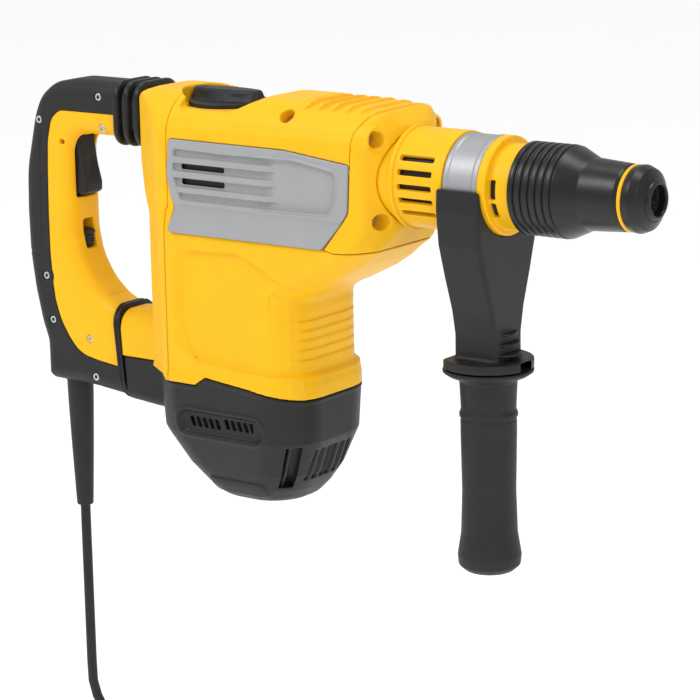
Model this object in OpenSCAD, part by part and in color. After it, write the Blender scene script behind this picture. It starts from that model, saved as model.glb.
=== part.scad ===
// Corded rotary demolition hammer with an SDS-max tool holder.
// The origin is the middle of the rear D-handle's grip. +X runs to the nose, +Z is up,
// Y = 0 is the plane of symmetry. All sizes are in millimetres.

/* [Layout] */
// Height of the tool axis above the middle of the rear grip
axis_z = 50; // [49:0.5:51]
// Distance from the grip to the middle of the side handle's band
band_x = 355; // [354:0.5:356]
// Distance from the grip to the motor's vertical axis
motor_x = 160; // [159:0.5:161]

/* [Housing] */
// Width of the gear part of the housing
body_w = 88; // [86:1:92]
// Width of the motor part of the housing
motor_w = 94; // [92:1:98]
// Height of the housing's top face
top_z = 97; // [96:1:99]
// Height of the motor cap's flat bottom
base_z = -178; // [-182:1:-174]
// Thickness of the moulded walls
wall = 3; // [2.5:0.5:3]

/* [Tool holder] */
// Diameter of the SDS-max shank bore
shank_d = 18; // [18:0.1:18.2]
// Outside diameter of the spindle in front of its cylinder
spindle_d = 34; // [33:0.5:34]

/* [Side handle] */
// Diameter of the stick grip
grip_d = 36.4; // [34:0.2:38]
// Depth of the grip's end below the origin
grip_end = 205; // [195:1:215]

/* [Cord] */
// Diameter of the mains cord
cord_d = 7.2; // [7:0.1:8]

/* [Hidden] */
$fn = 48;
gap = 0.3; // between neighbouring pieces of the shell

yellow = [0.98, 0.76, 0.10];
grey = [0.65, 0.66, 0.67];
black = [0.16, 0.16, 0.17];
steel = [0.72, 0.73, 0.74];
copper = [0.72, 0.42, 0.20];
alloy = [0.78, 0.78, 0.79];

// Shell seams along X
rear_x = 87;    // upper rear face
seam_rear = 127;  // rear cover to main housing
seam_nose = 276;  // main housing to nose housing
nose_x = 303;   // front face of the nose housing
cap_z = -96;    // motor housing to motor cap
knob_x = 147.5; // axis of the mode knob
screw_r = 3.2;  // the housing's screws

// Gear train: armature pinion, crank gear, crank pinion, intermediate gear, bevel pair
gear_module = 1.1;
pinion_teeth = 10;
crank_teeth = 54;
idler_module = 2;
crank_pinion_teeth = 9;
idler_teeth = 27;
crank_x = motor_x + gear_module * (pinion_teeth + crank_teeth) / 2;
idler_x = crank_x + idler_module * (crank_pinion_teeth + idler_teeth) / 2;
bevel_r = 9;    // pitch radius of the bevel pinion
ring_r = 27;    // pitch radius of the bevel ring gear
ring_x = idler_x + bevel_r;
throw = 14;     // crank radius
rod_length = 45;
wrist_x = crank_x + throw + rod_length;
cylinder_r = 15.1;
cylinder_x = wrist_x - 30;

// Side handle and barrel
band_w = 26;
band_r = 31.5;
barrel_r = 32.4;
neck_r = 27;
boot_x = band_x + 33.4;   // rear edge of the locking sleeve's boot
seal_x = band_x + 106.7;  // seal ring in front of the sleeve
nose_tip = band_x + 125;
flange_z = -62;   // top of the fork's base disc
flange_r = 29.4;

// Handle
grip_front = 17.6;
grip_back = -28.6;
grip_half = 18;   // half width of the handle
pivot = [70, -89.5];  // X and Z of the handle's lower pivot
trigger_pivot = [11, 52];

// Cord
cord_x = 3.5;
relief_top = -121;
relief_end = -215;
coil_r = 5.5 * cord_d;  // radius at the middle of the turns
coil_side = 4 * cord_d;   // side of the bundle's square section
coil_z = -435;    // height of the coil's centre
plug_x = -62;     // the plug hangs beside the coil
lead_route = [[3.5, -215], [3.5, -235], [3.5, -255], [3.5, -275], [3.5, -295], [3.5, -315],
    [3.5, -335], [4, -350], [6, -362], [11, -373], [19, -381], [27.5, -389]];
tail_route = [[-2, -485.5], [-12, -485.7], [-23, -486], [-33, -487.3], [-42.5, -491.2],
    [-50.6, -497.4], [-56.8, -505.5], [-60.7, -514.9], [-62, -525], [-62, -532]];

// ---------- helpers ----------

// A solid whose XZ outline runs from y0 to y1
module side_cut(y0, y1) {
    translate([0, y1, 0]) rotate([90, 0, 0]) linear_extrude(y1 - y0) children();
}

// A solid whose YZ outline runs from x0 to x1
module front_cut(x0, x1) {
    translate([x0, 0, 0]) rotate([90, 0, 90]) linear_extrude(x1 - x0) children();
}

// A cylinder on the tool axis
module on_axis(x0, x1, r) {
    translate([x0, 0, axis_z]) rotate([0, 90, 0]) cylinder(h = x1 - x0, r = r);
}

// A tube on the tool axis
module axis_tube(x0, x1, r, inner) {
    difference() {
        on_axis(x0, x1, r);
        on_axis(x0 - 1, x1 + 1, inner);
    }
}

// A turned solid on the tool axis, its outline given as [x, radius]
module turned(outline) {
    translate([0, 0, axis_z]) rotate([0, 90, 0])
        rotate_extrude() polygon([for (p = outline) [p[1], p[0]]]);
}

// A rectangle with round corners
module round_rect(low, high, r) {
    translate([low[0] + r, low[1]]) square([high[0] - low[0] - 2 * r, high[1] - low[1]]);
    translate([low[0], low[1] + r]) square([high[0] - low[0], high[1] - low[1] - 2 * r]);
    for (x = [low[0] + r, high[0] - r], y = [low[1] + r, high[1] - r])
        translate([x, y]) circle(r);
}

// A box from one corner to the other
module box(low, high) {
    translate(low) cube(high - low);
}

// A vertical cylinder between two heights
module post(x, y, z0, z1, r) {
    translate([x, y, z0]) cylinder(h = z1 - z0, r = r);
}

// A vertical ring between two heights
module ring(x, z0, z1, r, inner) {
    difference() {
        post(x, 0, z0, z1, r);
        post(x, 0, z0 - 1, z1 + 1, inner);
    }
}

// A horizontal cylinder along Y
module cross_pin(x, z, y0, y1, r) {
    translate([x, y1, z]) rotate([90, 0, 0]) cylinder(h = y1 - y0, r = r);
}

// A toothed outline: teeth of the given height above and below the pitch circle
module toothed(teeth, pitch_r, above, below, turn) {
    step = 360 / teeth;
    circle(pitch_r - below);
    for (i = [0:teeth - 1]) rotate(turn + i * step) polygon([
        [pitch_r - below - 0.5, -0.30 * step * PI / 180 * pitch_r],
        [pitch_r + above, -0.14 * step * PI / 180 * pitch_r],
        [pitch_r + above, 0.14 * step * PI / 180 * pitch_r],
        [pitch_r - below - 0.5, 0.30 * step * PI / 180 * pitch_r]]);
}

// A helical spring as a stack of rings joined by one rod, which keeps its solid simple
module coil_spring(r, wire, length, turns) {
    for (i = [0:turns - 1]) translate([0, 0, wire + i * (length - 2 * wire) / (turns - 1)])
        rotate_extrude() translate([r, 0]) circle(wire, $fn = 16);
    translate([r, 0, wire]) cylinder(h = length - 2 * wire, r = wire * 0.8, $fn = 16);
}

// A ball bearing: two races and its balls, standing along Z
module ball_bearing(r, inner, h) {
    middle = (r + inner) / 2;
    race = (r - inner) * 0.28;
    ball = (r - inner) * 0.25;
    difference() {
        union() {
            difference() {
                cylinder(h = h, r = r);
                translate([0, 0, -1]) cylinder(h = h + 2, r = r - race);
            }
            difference() {
                cylinder(h = h, r = inner + race);
                translate([0, 0, -1]) cylinder(h = h + 2, r = inner);
            }
        }
        translate([0, 0, h / 2]) rotate_extrude() translate([middle, 0]) circle(ball + 0.1);
    }
    for (a = [0:45:359]) rotate(a) translate([middle, 0, h / 2]) sphere(ball, $fn = 24);
}

// A tube of the cord's diameter along a route of [x, z] points in the plane y = 0
module cord_tube(route) {
    sides = 8;
    last = len(route) - 1;
    function heading(i) = let(a = route[max(i - 1, 0)], b = route[min(i + 1, last)])
        (b - a) / norm(b - a);
    points = [for (i = [0:last], k = [0:sides - 1])
        let(d = heading(i), a = 360 * k / sides, r = cord_d / 2)
        [route[i][0] - d[1] * r * cos(a), r * sin(a), route[i][1] + d[0] * r * cos(a)]];
    walls = [for (i = [0:last - 1], k = [0:sides - 1])
        let(n = (k + 1) % sides, j = (i + 1) * sides) [i * sides + k, i * sides + n, j + n, j + k]];
    ends = [[for (k = [0:sides - 1]) sides - 1 - k], [for (k = [0:sides - 1]) last * sides + k]];
    polyhedron(points, concat(walls, ends));
}

// ---------- housing ----------

// Side outline of the gear part, inset by d, with the dip that the mode knob lies in
module gear_outline(d) {
    polygon([[rear_x + d, 90 - d], [97 + d / 2, top_z - d], [117 - d, top_z - d],
        [117 - d, 85 - d], [178 + d, 85 - d], [196, top_z - d],
        [272 - d / 2, top_z - d], [292 - d, 93 - d], [nose_x - d, 84], [nose_x - d, 22],
        [290 - d / 2, 3 + d / 2], [276, -8 + d], [262, -17 + d], [240, -28 + d],
        [100 + d, -28 + d], [100 + d, 14], [97 + d, 17], [92 + d, 27], [rear_x + d, 46]]);
}

// Plan of the housing, whose rear corners are chamfered, inset by d
module chamfered_plan(d) {
    translate([0, 0, -100]) linear_extrude(200) offset(delta = -d) polygon([[55, 0], [rear_x, -22],
        [125, -48.1], [320, -48.1], [320, 48.1], [125, 48.1], [rear_x, 22]]);
}

// Gear part of the housing, inset by d
module gear_block(d) {
    intersection() {
        chamfered_plan(d);
        side_cut(-body_w / 2 + d, body_w / 2 - d) gear_outline(d);
        front_cut(80, nose_x)
            round_rect([-body_w / 2 + d, -50], [body_w / 2 - d, top_z - d], 28 - d);
    }
}

// Motor part of the housing, inset by d
module motor_block(d, z0, z1) {
    intersection() {
        chamfered_plan(d);
        translate([0, 0, z0]) linear_extrude(z1 - z0)
            round_rect([100 + d, -motor_w / 2 + d], [234 - d, motor_w / 2 - d], 24 - d);
    }
}

// The whole yellow shell before it is parted
module shell() {
    difference() {
        union() {
            gear_block(0);
            motor_block(0, cap_z, -10);
            rear_stub(0);
        }
        gear_block(wall);
        motor_block(wall, cap_z - 1, -10 - wall);
        rear_stub(wall);
        // passage for the handle's upper arm
        front_cut(80, 110) translate([0, 76]) circle(17);
        // slot for the speed dial
        box([98, -22, -58], [105, -8, -34]);
        // seat of the mode knob's shaft
        post(knob_x, 0, 70, 90, 9.5);
        // barrel opening
        on_axis(nose_x - 10, nose_x + 1, barrel_r + gap);
    }
}

// Short arm behind the motor that takes the rear handle's pivot
module rear_stub(d) {
    intersection() {
        side_cut(-20 + d, 20 - d)
            polygon([[60.2, -62 - d], [102, -58 - d], [102, cap_z], [63.2, cap_z]]);
        front_cut(58, 104) round_rect([-20 + d, -130], [20 - d, -57 - d], 8 - d);
    }
}

module main_housing() {
    color(yellow) difference() {
        intersection() {
            shell();
            box([seam_rear + gap / 2, -60, -120], [seam_nose - gap / 2, 60, 120]);
        }
        for (side = [-1, 1]) {
            panel_solid(side, 0.15);
            // vents behind the panel's open slots
            for (z = [38.8, 48.8]) translate([158, side * 44, z])
                cube([38, 12, 5.6], center = true);
        }
        screw_places() cylinder(h = 30, r = screw_r, center = true);
    }
}

module rear_cover() {
    color(yellow) difference() {
        intersection() {
            shell();
            box([50, -60, -120], [seam_rear - gap / 2, 60, 120]);
        }
        // pivot pin of the rear handle
        cross_pin(pivot[0], pivot[1], -30, 30, 4);
    }
}

module nose_housing() {
    color(yellow) difference() {
        intersection() {
            shell();
            box([seam_nose + gap / 2, -60, -120], [320, 60, 120]);
        }
        nose_screw_places() cylinder(h = 20, r = screw_r);
    }
}

// Grey louvred panel on one side, grown by d all round
module panel_solid(side, d) {
    side_cut(side > 0 ? body_w / 2 - 1.5 : -body_w / 2 - 1 - d,
             side > 0 ? body_w / 2 + 1 + d : -body_w / 2 + 1.5)
        polygon([[131 - d, 67 + d], [215, 66 + d], [274 + d, 60 + d], [274 + d, 28],
            [258 + d, 5 - d], [131 - d, 5 - d], [128 - d, 40]]);
}

module side_panel(side) {
    color(grey) difference() {
        panel_solid(side, 0);
        for (z = [38.8, 48.8]) translate([158, side * 44, z]) cube([36, 12, 4.6], center = true);
    }
}
module side_panel_right() { side_panel(-1); }
module side_panel_left() { side_panel(1); }

// The cap's outline at one height: x range, half width and corner radius
module cap_slice(z, low, high, half, r) {
    translate([0, 0, z]) linear_extrude(0.5)
        round_rect([low, -half], [high, half], r, $fn = 32);
}

module cap_body(d) {
    hull() {
        cap_slice(cap_z - 0.5 - gap, 104 + d, 234 - d, 48 - d, 24);
        cap_slice(-132, 105 + d, 233 - d, 47 - d, 24);
        cap_slice(-156, 122 + d, 220 - d, 40 - d, 22);
        cap_slice(base_z + d, 146 + d / 2, 206 - d / 2, 28 - d / 2, 18);
    }
}

module motor_cap() {
    color(black) ring(motor_x, base_z + 2, -154, 17.5, 14.02);
    color(black) difference() {
        union() {
            cap_body(0);
            // lower half of the rear arm
            side_cut(-20, 20) polygon([[63.3, cap_z - gap], [106, cap_z - gap], [106, -128],
                [90, -127], [66, -125]]);
        }
        translate([0, 0, 0.6]) cap_body(wall);
        side_cut(-17, 17) polygon([[56, -90], [108, -90], [108, -124], [62, -122]]);
        // air slots on both sides and in front
        for (side = [-1, 1]) for (x = [138, 168])
            translate([x, side * 45, -124]) cube([22, 14, 4], center = true);
        for (y = [-9, -3, 3, 9]) translate([228, y, -140]) cube([30, 3, 16], center = true);
    }
}

module barrel() {
    color(yellow) difference() {
        axis_tube(nose_x - 26, band_x - 13 - gap, barrel_r, 28.1);
        for (a = [-36, -19, -3, 14, 31], side = [-1, 1])
            translate([321, 0, axis_z]) rotate([-a * side, 0, 0]) translate([0, 30 * side, 0])
                cube([26, 12, 3], center = true);
    }
}

module barrel_collar() {
    color(yellow) difference() {
        turned([[band_x - 13, 22.5], [band_x - 13, 30], [368.2, 30], [368.2, barrel_r - 0.8],
            [374, barrel_r - 0.8], [374, neck_r], [392, neck_r], [392, 22.5]]);
        on_axis(341, 363, 27.05);
        // oil slots in the flange
        for (a = [-28, 28], turn = [0, 180]) translate([0, 0, axis_z]) rotate([a + turn, 0, 0])
            translate([371, 28.6, 0]) cube([2.6, 2.4, 14], center = true);
    }
}

// Centres of the housing's side screws, drilled along Y
module screw_places() {
    for (side = [-1, 1]) translate([224, side * 32, 85]) rotate([90, 0, 0]) children();
}

// Starts of the screws that hold the nose housing, driven along X
module nose_screw_places() {
    for (y = [-36, 36], z = [-26, 28])
        translate([nose_x - 7, y, axis_z + z]) rotate([0, 90, 0]) children();
}

module housing_screws() {
    color(steel) {
        screw_places() cylinder(h = 6, r = screw_r, center = true);
        nose_screw_places() cylinder(h = 5, r = screw_r);
    }
}

// ---------- rear handle ----------

// Whole side outline of the D-handle
module handle_outline() {
    polygon([[62, 58], [62, 96], [20, 96], [2, 92], [-10, 84], [-17, 72], [-27.5, 30],
        [grip_back, 0], [-28, -30], [-24.5, -56], [-19, -80], [-14, -92], [-14, -118],
        [-8, -121], [20, -121], [32, -122], [60, -125], [53.5, -60], [44, -55], [31, -45],
        [21, -30], [grip_front, -12], [grip_front, 50], [24, 58]]);
}

// The inner, yellow part of that outline
module handle_inner_outline() {
    polygon([[62, 58], [62, 74.5], [10, 74], [2, 68], [-2, 52], [-3.2, 30], [-4, 0],
        [-4, -28], [-2, -50], [-1, -62], [4, -76], [11, -87], [18, -95], [26, -99],
        [37, -101], [58, -103], [53.4, -59], [44, -55], [31, -45], [21, -30],
        [grip_front, -12], [grip_front, 50], [24, 58]]);
}

// Space inside the handle for the trigger, switch and wires
module handle_cavity() {
    side_cut(-10.2, 10.2) polygon([[-4, 12], [20, 12], [20, 50], [24, 59], [4, 59], [-4, 54]]);
    side_cut(-9, 9) polygon([[-18, 8], [-3, 8], [-3, 56], [-12, 60], [-18, 40]]);
    box([-6, -4, -90], [4, 4, 10]);
    // lock slider's slot
    box([4, -5.2, -25], [20, 5.2, -4]);
}

module handle_solid(half) {
    intersection() {
        side_cut(-half, half) children();
        front_cut(-31, 64) round_rect([-half, -130], [half, 100], 9);
    }
}

module handle_frame() {
    color(yellow) difference() {
        union() {
            handle_solid(grip_half) handle_inner_outline();
            // tongue that the pivot pin goes through
            side_cut(-11, 11) polygon([[50, -80], [74, -82], [80, -88], [80, -96], [74, -102],
                [50, -102]]);
            // guide of the damper inside the bellows
            front_cut(61, 92) translate([0, 76]) circle(10);
        }
        handle_cavity();
        cross_pin(pivot[0], pivot[1], -30, 30, 4.05);
        cross_pin(trigger_pivot[0], trigger_pivot[1], -15, 15, 2);
        // pocket of the damper spring
        front_cut(70, 93) translate([0, 76]) circle(7);
        handle_screw_places(0) cylinder(h = 12, r = 2.6, center = true);
    }
}

module handle_overmould() {
    color(black) difference() {
        handle_solid(grip_half) difference() {
            handle_outline();
            handle_inner_outline();
        }
        handle_cavity();
        front_cut(60.7, 63) translate([0, 76]) circle(10.1);
        post(cord_x, 0, -125, -100, 5);
        handle_screw_places(1) cylinder(h = 12, r = 2.6, center = true);
    }
}

// Screws of the handle halves: set 0 lies in the yellow frame, set 1 in the overmould
module handle_screw_places(set) {
    yellow_places = [[48.5, 64], [30, -86.5]];
    black_places = [[46, 85.5], [-10, 66], [-9, -45], [-4.5, -76.5], [34, -113.5]];
    for (p = set == 0 ? yellow_places : black_places, side = [-1, 1])
        translate([p[0], side * 14, p[1]]) rotate([90, 0, 0]) children();
}

module handle_screws() {
    color(steel) for (set = [0, 1]) handle_screw_places(set) cylinder(h = 5, r = 2.5, center = true);
}

module bellows_ring(x0, x1, half, r) {
    front_cut(x0, x1) round_rect([-half, 75.5 - half], [half, 75.5 + half], r);
}

module upper_bellows() {
    color(black) difference() {
        union() {
            bellows_ring(62.3, 86.7, 18.5, 10);
            bellows_ring(63, 68, 22, 12);
            bellows_ring(71.5, 77, 22.5, 12);
            bellows_ring(80.5, 86.7, 23, 12);
        }
        front_cut(60, 90) translate([0, 75.5]) circle(16.2);
    }
}

// Rubber loop between the handle's lower arm and the housing's stub
module lower_seal() {
    color(black) difference() {
        intersection() {
            side_cut(-21, 21) polygon([[54, -59], [59.6, -59], [65.6, -127], [60.4, -127]]);
            front_cut(50, 70) round_rect([-21, -127], [21, -58], 9);
        }
        front_cut(50, 70) round_rect([-17.5, -121], [17.5, -64], 7);
    }
}

module handle_pivot_pin() {
    color(steel) cross_pin(pivot[0], pivot[1], -20, 20, 3.98);
}

module damper_spring() {
    color(steel) translate([70.2, 0, 76]) rotate([0, 90, 0]) coil_spring(5, 0.9, 20, 6);
}

module trigger() {
    color(black) difference() {
        side_cut(-9.5, 9.5) polygon([[6, 56], [18, 57], [20, 46], [22.5, 34], [25, 22],
            [24.5, 16], [20, 13.5], [12, 14.5], [5, 20], [4, 50]]);
        cross_pin(trigger_pivot[0], trigger_pivot[1], -15, 15, 2.05);
    }
}

module trigger_pin() {
    color(steel) cross_pin(trigger_pivot[0], trigger_pivot[1], -14, 14, 1.98);
}

module lock_slider() {
    color(black) {
        box([6, -4.6, -24], [18.2, 4.6, -11.5]);
        for (z = [-23, -20.5, -18]) box([18, -4, z], [19, 4, z + 1.2]);
        box([18, -4, -15], [20.6, 4, -12]);
    }
}

module switch_module() {
    color(black) {
        side_cut(-8.5, 8.5) polygon([[-17.4, 9], [-5.5, 9], [-5.5, 50], [-12, 52], [-17.4, 38]]);
        box([-5.5, -3, 30], [-3.4, 3, 36]);
    }
}

module speed_dial() {
    color(black) cross_pin(107, -46, -20, -10, 11);
}

module control_board() {
    color([0.10, 0.35, 0.18]) {
        box([105, -4, -85], [107, 30, -45]);
        for (y = [0, 16]) box([107, y, -78], [111, y + 10, -56]);
    }
}

// ---------- mode selector ----------

module mode_knob() {
    color(black) {
        translate([knob_x, 0, 0]) {
            difference() {
                translate([0, 0, 85.4]) cylinder(h = 3.8, r = 26.8);
                for (a = [0:90:359]) rotate(a + 45) translate([33, 0, 80]) cylinder(h = 12, r = 8);
            }
            // finger bar, wider in its middle
            translate([0, 0, 89]) linear_extrude(6) intersection() {
                circle(26.8);
                translate([0, 32]) circle(42, $fn = 96);
                translate([0, -32]) circle(42, $fn = 96);
            }
            translate([-18, 0, 94.8]) cylinder(h = 0.6, r = 2.4, $fn = 3);
            post(0, 0, 70, 86, 9);
            post(5, 0, 62, 70.5, 3);
        }
    }
}

// ---------- motor ----------

module stator_core() {
    color(steel) ring(motor_x, -98, -42, 42, 29);
}

module field_windings() {
    color(copper) {
        ring(motor_x, -105, -98, 40, 30);
        ring(motor_x, -42, -37.5, 40, 30);
    }
}

module armature_shaft() {
    color(steel) {
        difference() {
            post(motor_x, 0, -166, -9, 6);
            for (side = [-1, 1]) box([motor_x - 7, side > 0 ? 5.4 : -7, -166.5], [motor_x + 7,
                side > 0 ? 7 : -5.4, -164]);
        }
        translate([motor_x, 0, -9]) linear_extrude(15)
            toothed(pinion_teeth, gear_module * pinion_teeth / 2, 0.5, 1, 0);
    }
}

module armature_core() {
    color(steel) difference() {
        ring(motor_x, -97, -43, 28.2, 6);
        for (a = [0:30:359]) translate([motor_x, 0, -98]) rotate(a)
            translate([25, -1.2, 0]) cube([5, 2.4, 60]);
    }
    color(copper) {
        ring(motor_x, -103, -97, 24, 6);
        ring(motor_x, -43, -38, 24, 6);
    }
}

module commutator() {
    color(copper) difference() {
        ring(motor_x, -128, -106, 16, 6);
        for (a = [0:15:359]) translate([motor_x, 0, -129]) rotate(a)
            translate([15, -0.3, 0]) cube([2, 0.6, 20]);
    }
}

module cooling_fan() {
    color(black) difference() {
        union() {
            ring(motor_x, -36, -34, 38, 6);
            ring(motor_x, -36, -26, 12, 6);
            for (a = [0:30:359]) translate([motor_x, 0, -34.5]) rotate(a)
                translate([11, -0.8, 0]) cube([26, 1.6, 8]);
        }
    }
}

module motor_bearings() {
    color(steel) {
        translate([motor_x, 0, -164]) ball_bearing(14, 6, 10);
        translate([motor_x, 0, -22]) ball_bearing(16, 6, 10);
    }
}

module brush_holders() {
    color([0.72, 0.6, 0.3]) for (side = [-1, 1]) difference() {
        box([motor_x - 6, side > 0 ? 18 : -40, -123], [motor_x + 6, side > 0 ? 40 : -18, -111]);
        box([motor_x - 4.1, side > 0 ? 17 : -38, -121.1], [motor_x + 4.1, side > 0 ? 38 : -17, -112.9]);
    }
}

module carbon_brushes() {
    color([0.2, 0.2, 0.22]) for (side = [-1, 1])
        box([motor_x - 4, side > 0 ? 16.1 : -32, -121], [motor_x + 4, side > 0 ? 32 : -16.1, -113]);
}

// ---------- gearbox and striker ----------

module crankcase() {
    color(alloy) difference() {
        union() {
            difference() {
                side_cut(-37, 37) polygon([[132, -24], [242, -24], [262, -13], [268, -10],
                    [268, 78], [132, 78]]);
                side_cut(-33, 33) polygon([[136, -12], [246, -12], [264, -2], [264, 74],
                    [136, 74]]);
            }
            on_axis(252, 268, 32);
            // roof over the bevel ring gear
            intersection() {
                on_axis(233, 253, 32.6);
                box([230, -40, 66], [260, 40, 90]);
            }
        }
        on_axis(235.5, 251, 29.6);
        on_axis(232, 252, 19.6);
        post(motor_x, 0, -30, 0, 16.02);
        post(crank_x, 0, -24, 0, 13.02);
        post(idler_x, 0, -24, 0, 13.02);
        post(knob_x, 0, 60, 90, 9.1);
        on_axis(250, 270, 28.02);
    }
}

module crank_gear() {
    color(steel) translate([crank_x, 0, -6]) difference() {
        linear_extrude(9) toothed(crank_teeth, gear_module * crank_teeth / 2, 0.5, 1,
            180 / crank_teeth);
        translate([0, 0, -1]) cylinder(h = 12, r = 8);
        for (a = [0:60:359]) rotate(a) translate([18, 0, -1]) cylinder(h = 12, r = 4);
    }
}

module crankshaft() {
    color(steel) {
        post(crank_x, 0, -22, 5, 8);
        translate([crank_x, 0, 5]) linear_extrude(10)
            toothed(crank_pinion_teeth, idler_module * crank_pinion_teeth / 2, 0.7, 1.5, 0);
        post(crank_x, 0, 15, 24, 20);
        post(crank_x + throw, 0, 24, axis_z - 4.5, 5);
    }
}

module gear_bearings() {
    color(steel) for (x = [crank_x, idler_x]) translate([x, 0, -22]) ball_bearing(13, 8, 9);
}

module intermediate_shaft() {
    color(steel) {
        post(idler_x, 0, -22, -12, 8);
        post(idler_x, 0, -12, 17, 5);
        // bevel pinion, its pitch cone pointing at the tool axis
        translate([idler_x, 0, axis_z - ring_r - 6]) cylinder(h = 6, r = 7);
        translate([idler_x, 0, axis_z - ring_r]) linear_extrude(6, scale = (ring_r - 6) / ring_r)
            toothed(crank_pinion_teeth, bevel_r, 0.6, 1.4, 0);
    }
}

module intermediate_gear() {
    color(steel) translate([idler_x, 0, 6]) difference() {
        linear_extrude(8) toothed(idler_teeth, idler_module * idler_teeth / 2, 0.7, 1.5, 0);
        translate([0, 0, -1]) cylinder(h = 12, r = 5);
    }
}

module ring_gear() {
    color(steel) difference() {
        union() {
            translate([ring_x + 0.8, 0, axis_z]) rotate([0, -90, 0])
                linear_extrude(2, scale = (bevel_r - 2) / bevel_r)
                toothed(idler_teeth, ring_r, 1.5, 4.2, 0);
            on_axis(ring_x + 0.8, ring_x + 4, 26.5);
        }
        on_axis(ring_x - 5, ring_x + 5, 19);
    }
}

module connecting_rod() {
    color(alloy) difference() {
        union() {
            post(crank_x + throw, 0, axis_z - 4, axis_z + 4, 9);
            post(wrist_x, 0, axis_z - 4, axis_z + 4, 7);
            box([crank_x + throw, -4, axis_z - 3], [wrist_x, 4, axis_z + 3]);
        }
        post(wrist_x, 0, 30, 70, 4.05);
        post(crank_x + throw, 0, 30, 70, 5.05);
    }
}

module wrist_pin() {
    color(steel) post(wrist_x, 0, axis_z - 11, axis_z + 11, 3.99);
}

module piston() {
    color(alloy) difference() {
        on_axis(wrist_x - 9, wrist_x + 15, cylinder_r - 0.08);
        box([wrist_x - 12, -12, axis_z - 4.5], [wrist_x + 8.5, 12, axis_z + 4.5]);
        post(wrist_x, 0, 30, 70, 4);
    }
}

module ram() {
    color(steel) difference() {
        union() {
            on_axis(284, 322, cylinder_r - 0.08);
            on_axis(321, 330, 8);
        }
        for (x = [290, 296]) axis_tube(x, x + 2.5, 20, 13.5);
    }
}

module beat_piece() {
    color(steel) {
        on_axis(342, 356, 11.9);
        on_axis(355, 384, 8.5);
    }
}

module spindle() {
    r = spindle_d / 2;
    color(steel) difference() {
        turned([[cylinder_x, 0], [cylinder_x, 19], [330, 19], [334, r], [474, r], [474, 0]]);
        on_axis(cylinder_x - 1, 336, cylinder_r);
        on_axis(335, 364, 12);
        on_axis(363, 386, 8.6);
        on_axis(385, 480, shank_d / 2);
        // air holes of the striking cylinder
        for (a = [0:60:359]) translate([272, 0, axis_z]) rotate([a, 0, 0]) cylinder(h = 25, r = 2);
        // windows of the locking rollers
        for (side = [-1, 1]) translate([426, side * 13.2, axis_z]) cube([24.4, 8.6, 6.2], center = true);
    }
}

module spindle_bearings() {
    color(steel) {
        translate([254, 0, axis_z]) rotate([0, 90, 0]) ball_bearing(28, 19, 10);
        translate([344, 0, axis_z]) rotate([0, 90, 0]) ball_bearing(27, 17, 12);
    }
}

module locking_rollers() {
    color(steel) for (side = [-1, 1]) translate([415, side * 12.5, axis_z]) rotate([0, 90, 0])
        cylinder(h = 22, r = 3);
}

module locking_sleeve() {
    ribs = 6;
    color(black) difference() {
        turned(concat([[boot_x, 20], [boot_x, 28.2]],
            [for (i = [0:ribs - 1]) each [[boot_x + 0.8 + i * 5.2, 29.4],
                [boot_x + 3.6 + i * 5.2, 29.4], [boot_x + 4.2 + i * 5.2, 28],
                [boot_x + 5.0 + i * 5.2, 28]]],
            [[boot_x + 32, 29], [boot_x + 46, 22.6], [seal_x - 3, 21], [seal_x - 0.2, 20.2],
             [seal_x - 0.2, 17.3]], [[boot_x + 4, 17.3]], [[boot_x + 2, 20]]));
        on_axis(boot_x - 1, boot_x + 22, neck_r + 0.6);
        on_axis(boot_x + 21, boot_x + 44, 20.6);
    }
}

module sleeve_spring() {
    color(steel) translate([394, 0, axis_z]) rotate([0, 90, 0]) coil_spring(18.9, 0.9, 34, 7);
}

module nose_seal_ring() {
    color(yellow) turned([[seal_x, 17.3], [seal_x, 20.2], [seal_x + 0.8, 20.9],
        [seal_x + 2, 20.9], [seal_x + 2.6, 20.2], [seal_x + 2.6, 17.3]]);
}

module nose_cap() {
    color(black) turned([[seal_x + 3.2, 17.05], [seal_x + 3.2, 21], [seal_x + 10, 20.6],
        [seal_x + 14, 17.5], [seal_x + 16.5, 12.5], [nose_tip, 11], [nose_tip, 9.3],
        [474.1, 9.3], [474.1, 17.05]]);
}

// ---------- side handle ----------

module clamp_band() {
    color(steel) difference() {
        union() {
            axis_tube(band_x - 12.8, band_x + 12.8, band_r, 30.1);
            box([band_x - 12.8, -6, 12], [band_x + 12.8, 6, axis_z - 30.4]);
        }
        on_axis(300, 400, 30.1);
        post(band_x, 0, 0, 30, 4);
    }
}

module clamp_fork() {
    half = 16;
    color(black) difference() {
        union() {
            front_cut(band_x - half, band_x + half) polygon([[-35, axis_z], [-35.5, 36],
                [-33, 14], [-26, -8], [-18, -30], [-15, -46], [-15, flange_z - 1],
                [15, flange_z - 1], [15, -46], [18, -30], [26, -8], [33, 14], [35.5, 36],
                [35, axis_z]]);
            post(band_x, 0, flange_z - 6, flange_z, flange_r);
            // three gussets on the front face
            for (z = [flange_z + 2, flange_z + 8, flange_z + 14])
                box([band_x + half - 1, -12, z], [band_x + half + 7 - (z - flange_z) / 3, 12, z + 2.4]);
        }
        on_axis(band_x - 30, band_x + 30, band_r + 0.1);
        on_axis(band_x - 30, band_x - 12.9, barrel_r + 0.4);
        on_axis(band_x + 12.9, band_x + 30, barrel_r - 0.4);
        box([band_x - 13, -6.2, 11.5], [band_x + 13, 6.2, 22]);
        post(band_x, 0, flange_z - 10, 13, 4.1);
    }
}

module clamp_bolt() {
    color(steel) post(band_x, 0, -92, axis_z - 32, 4);
}

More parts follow.
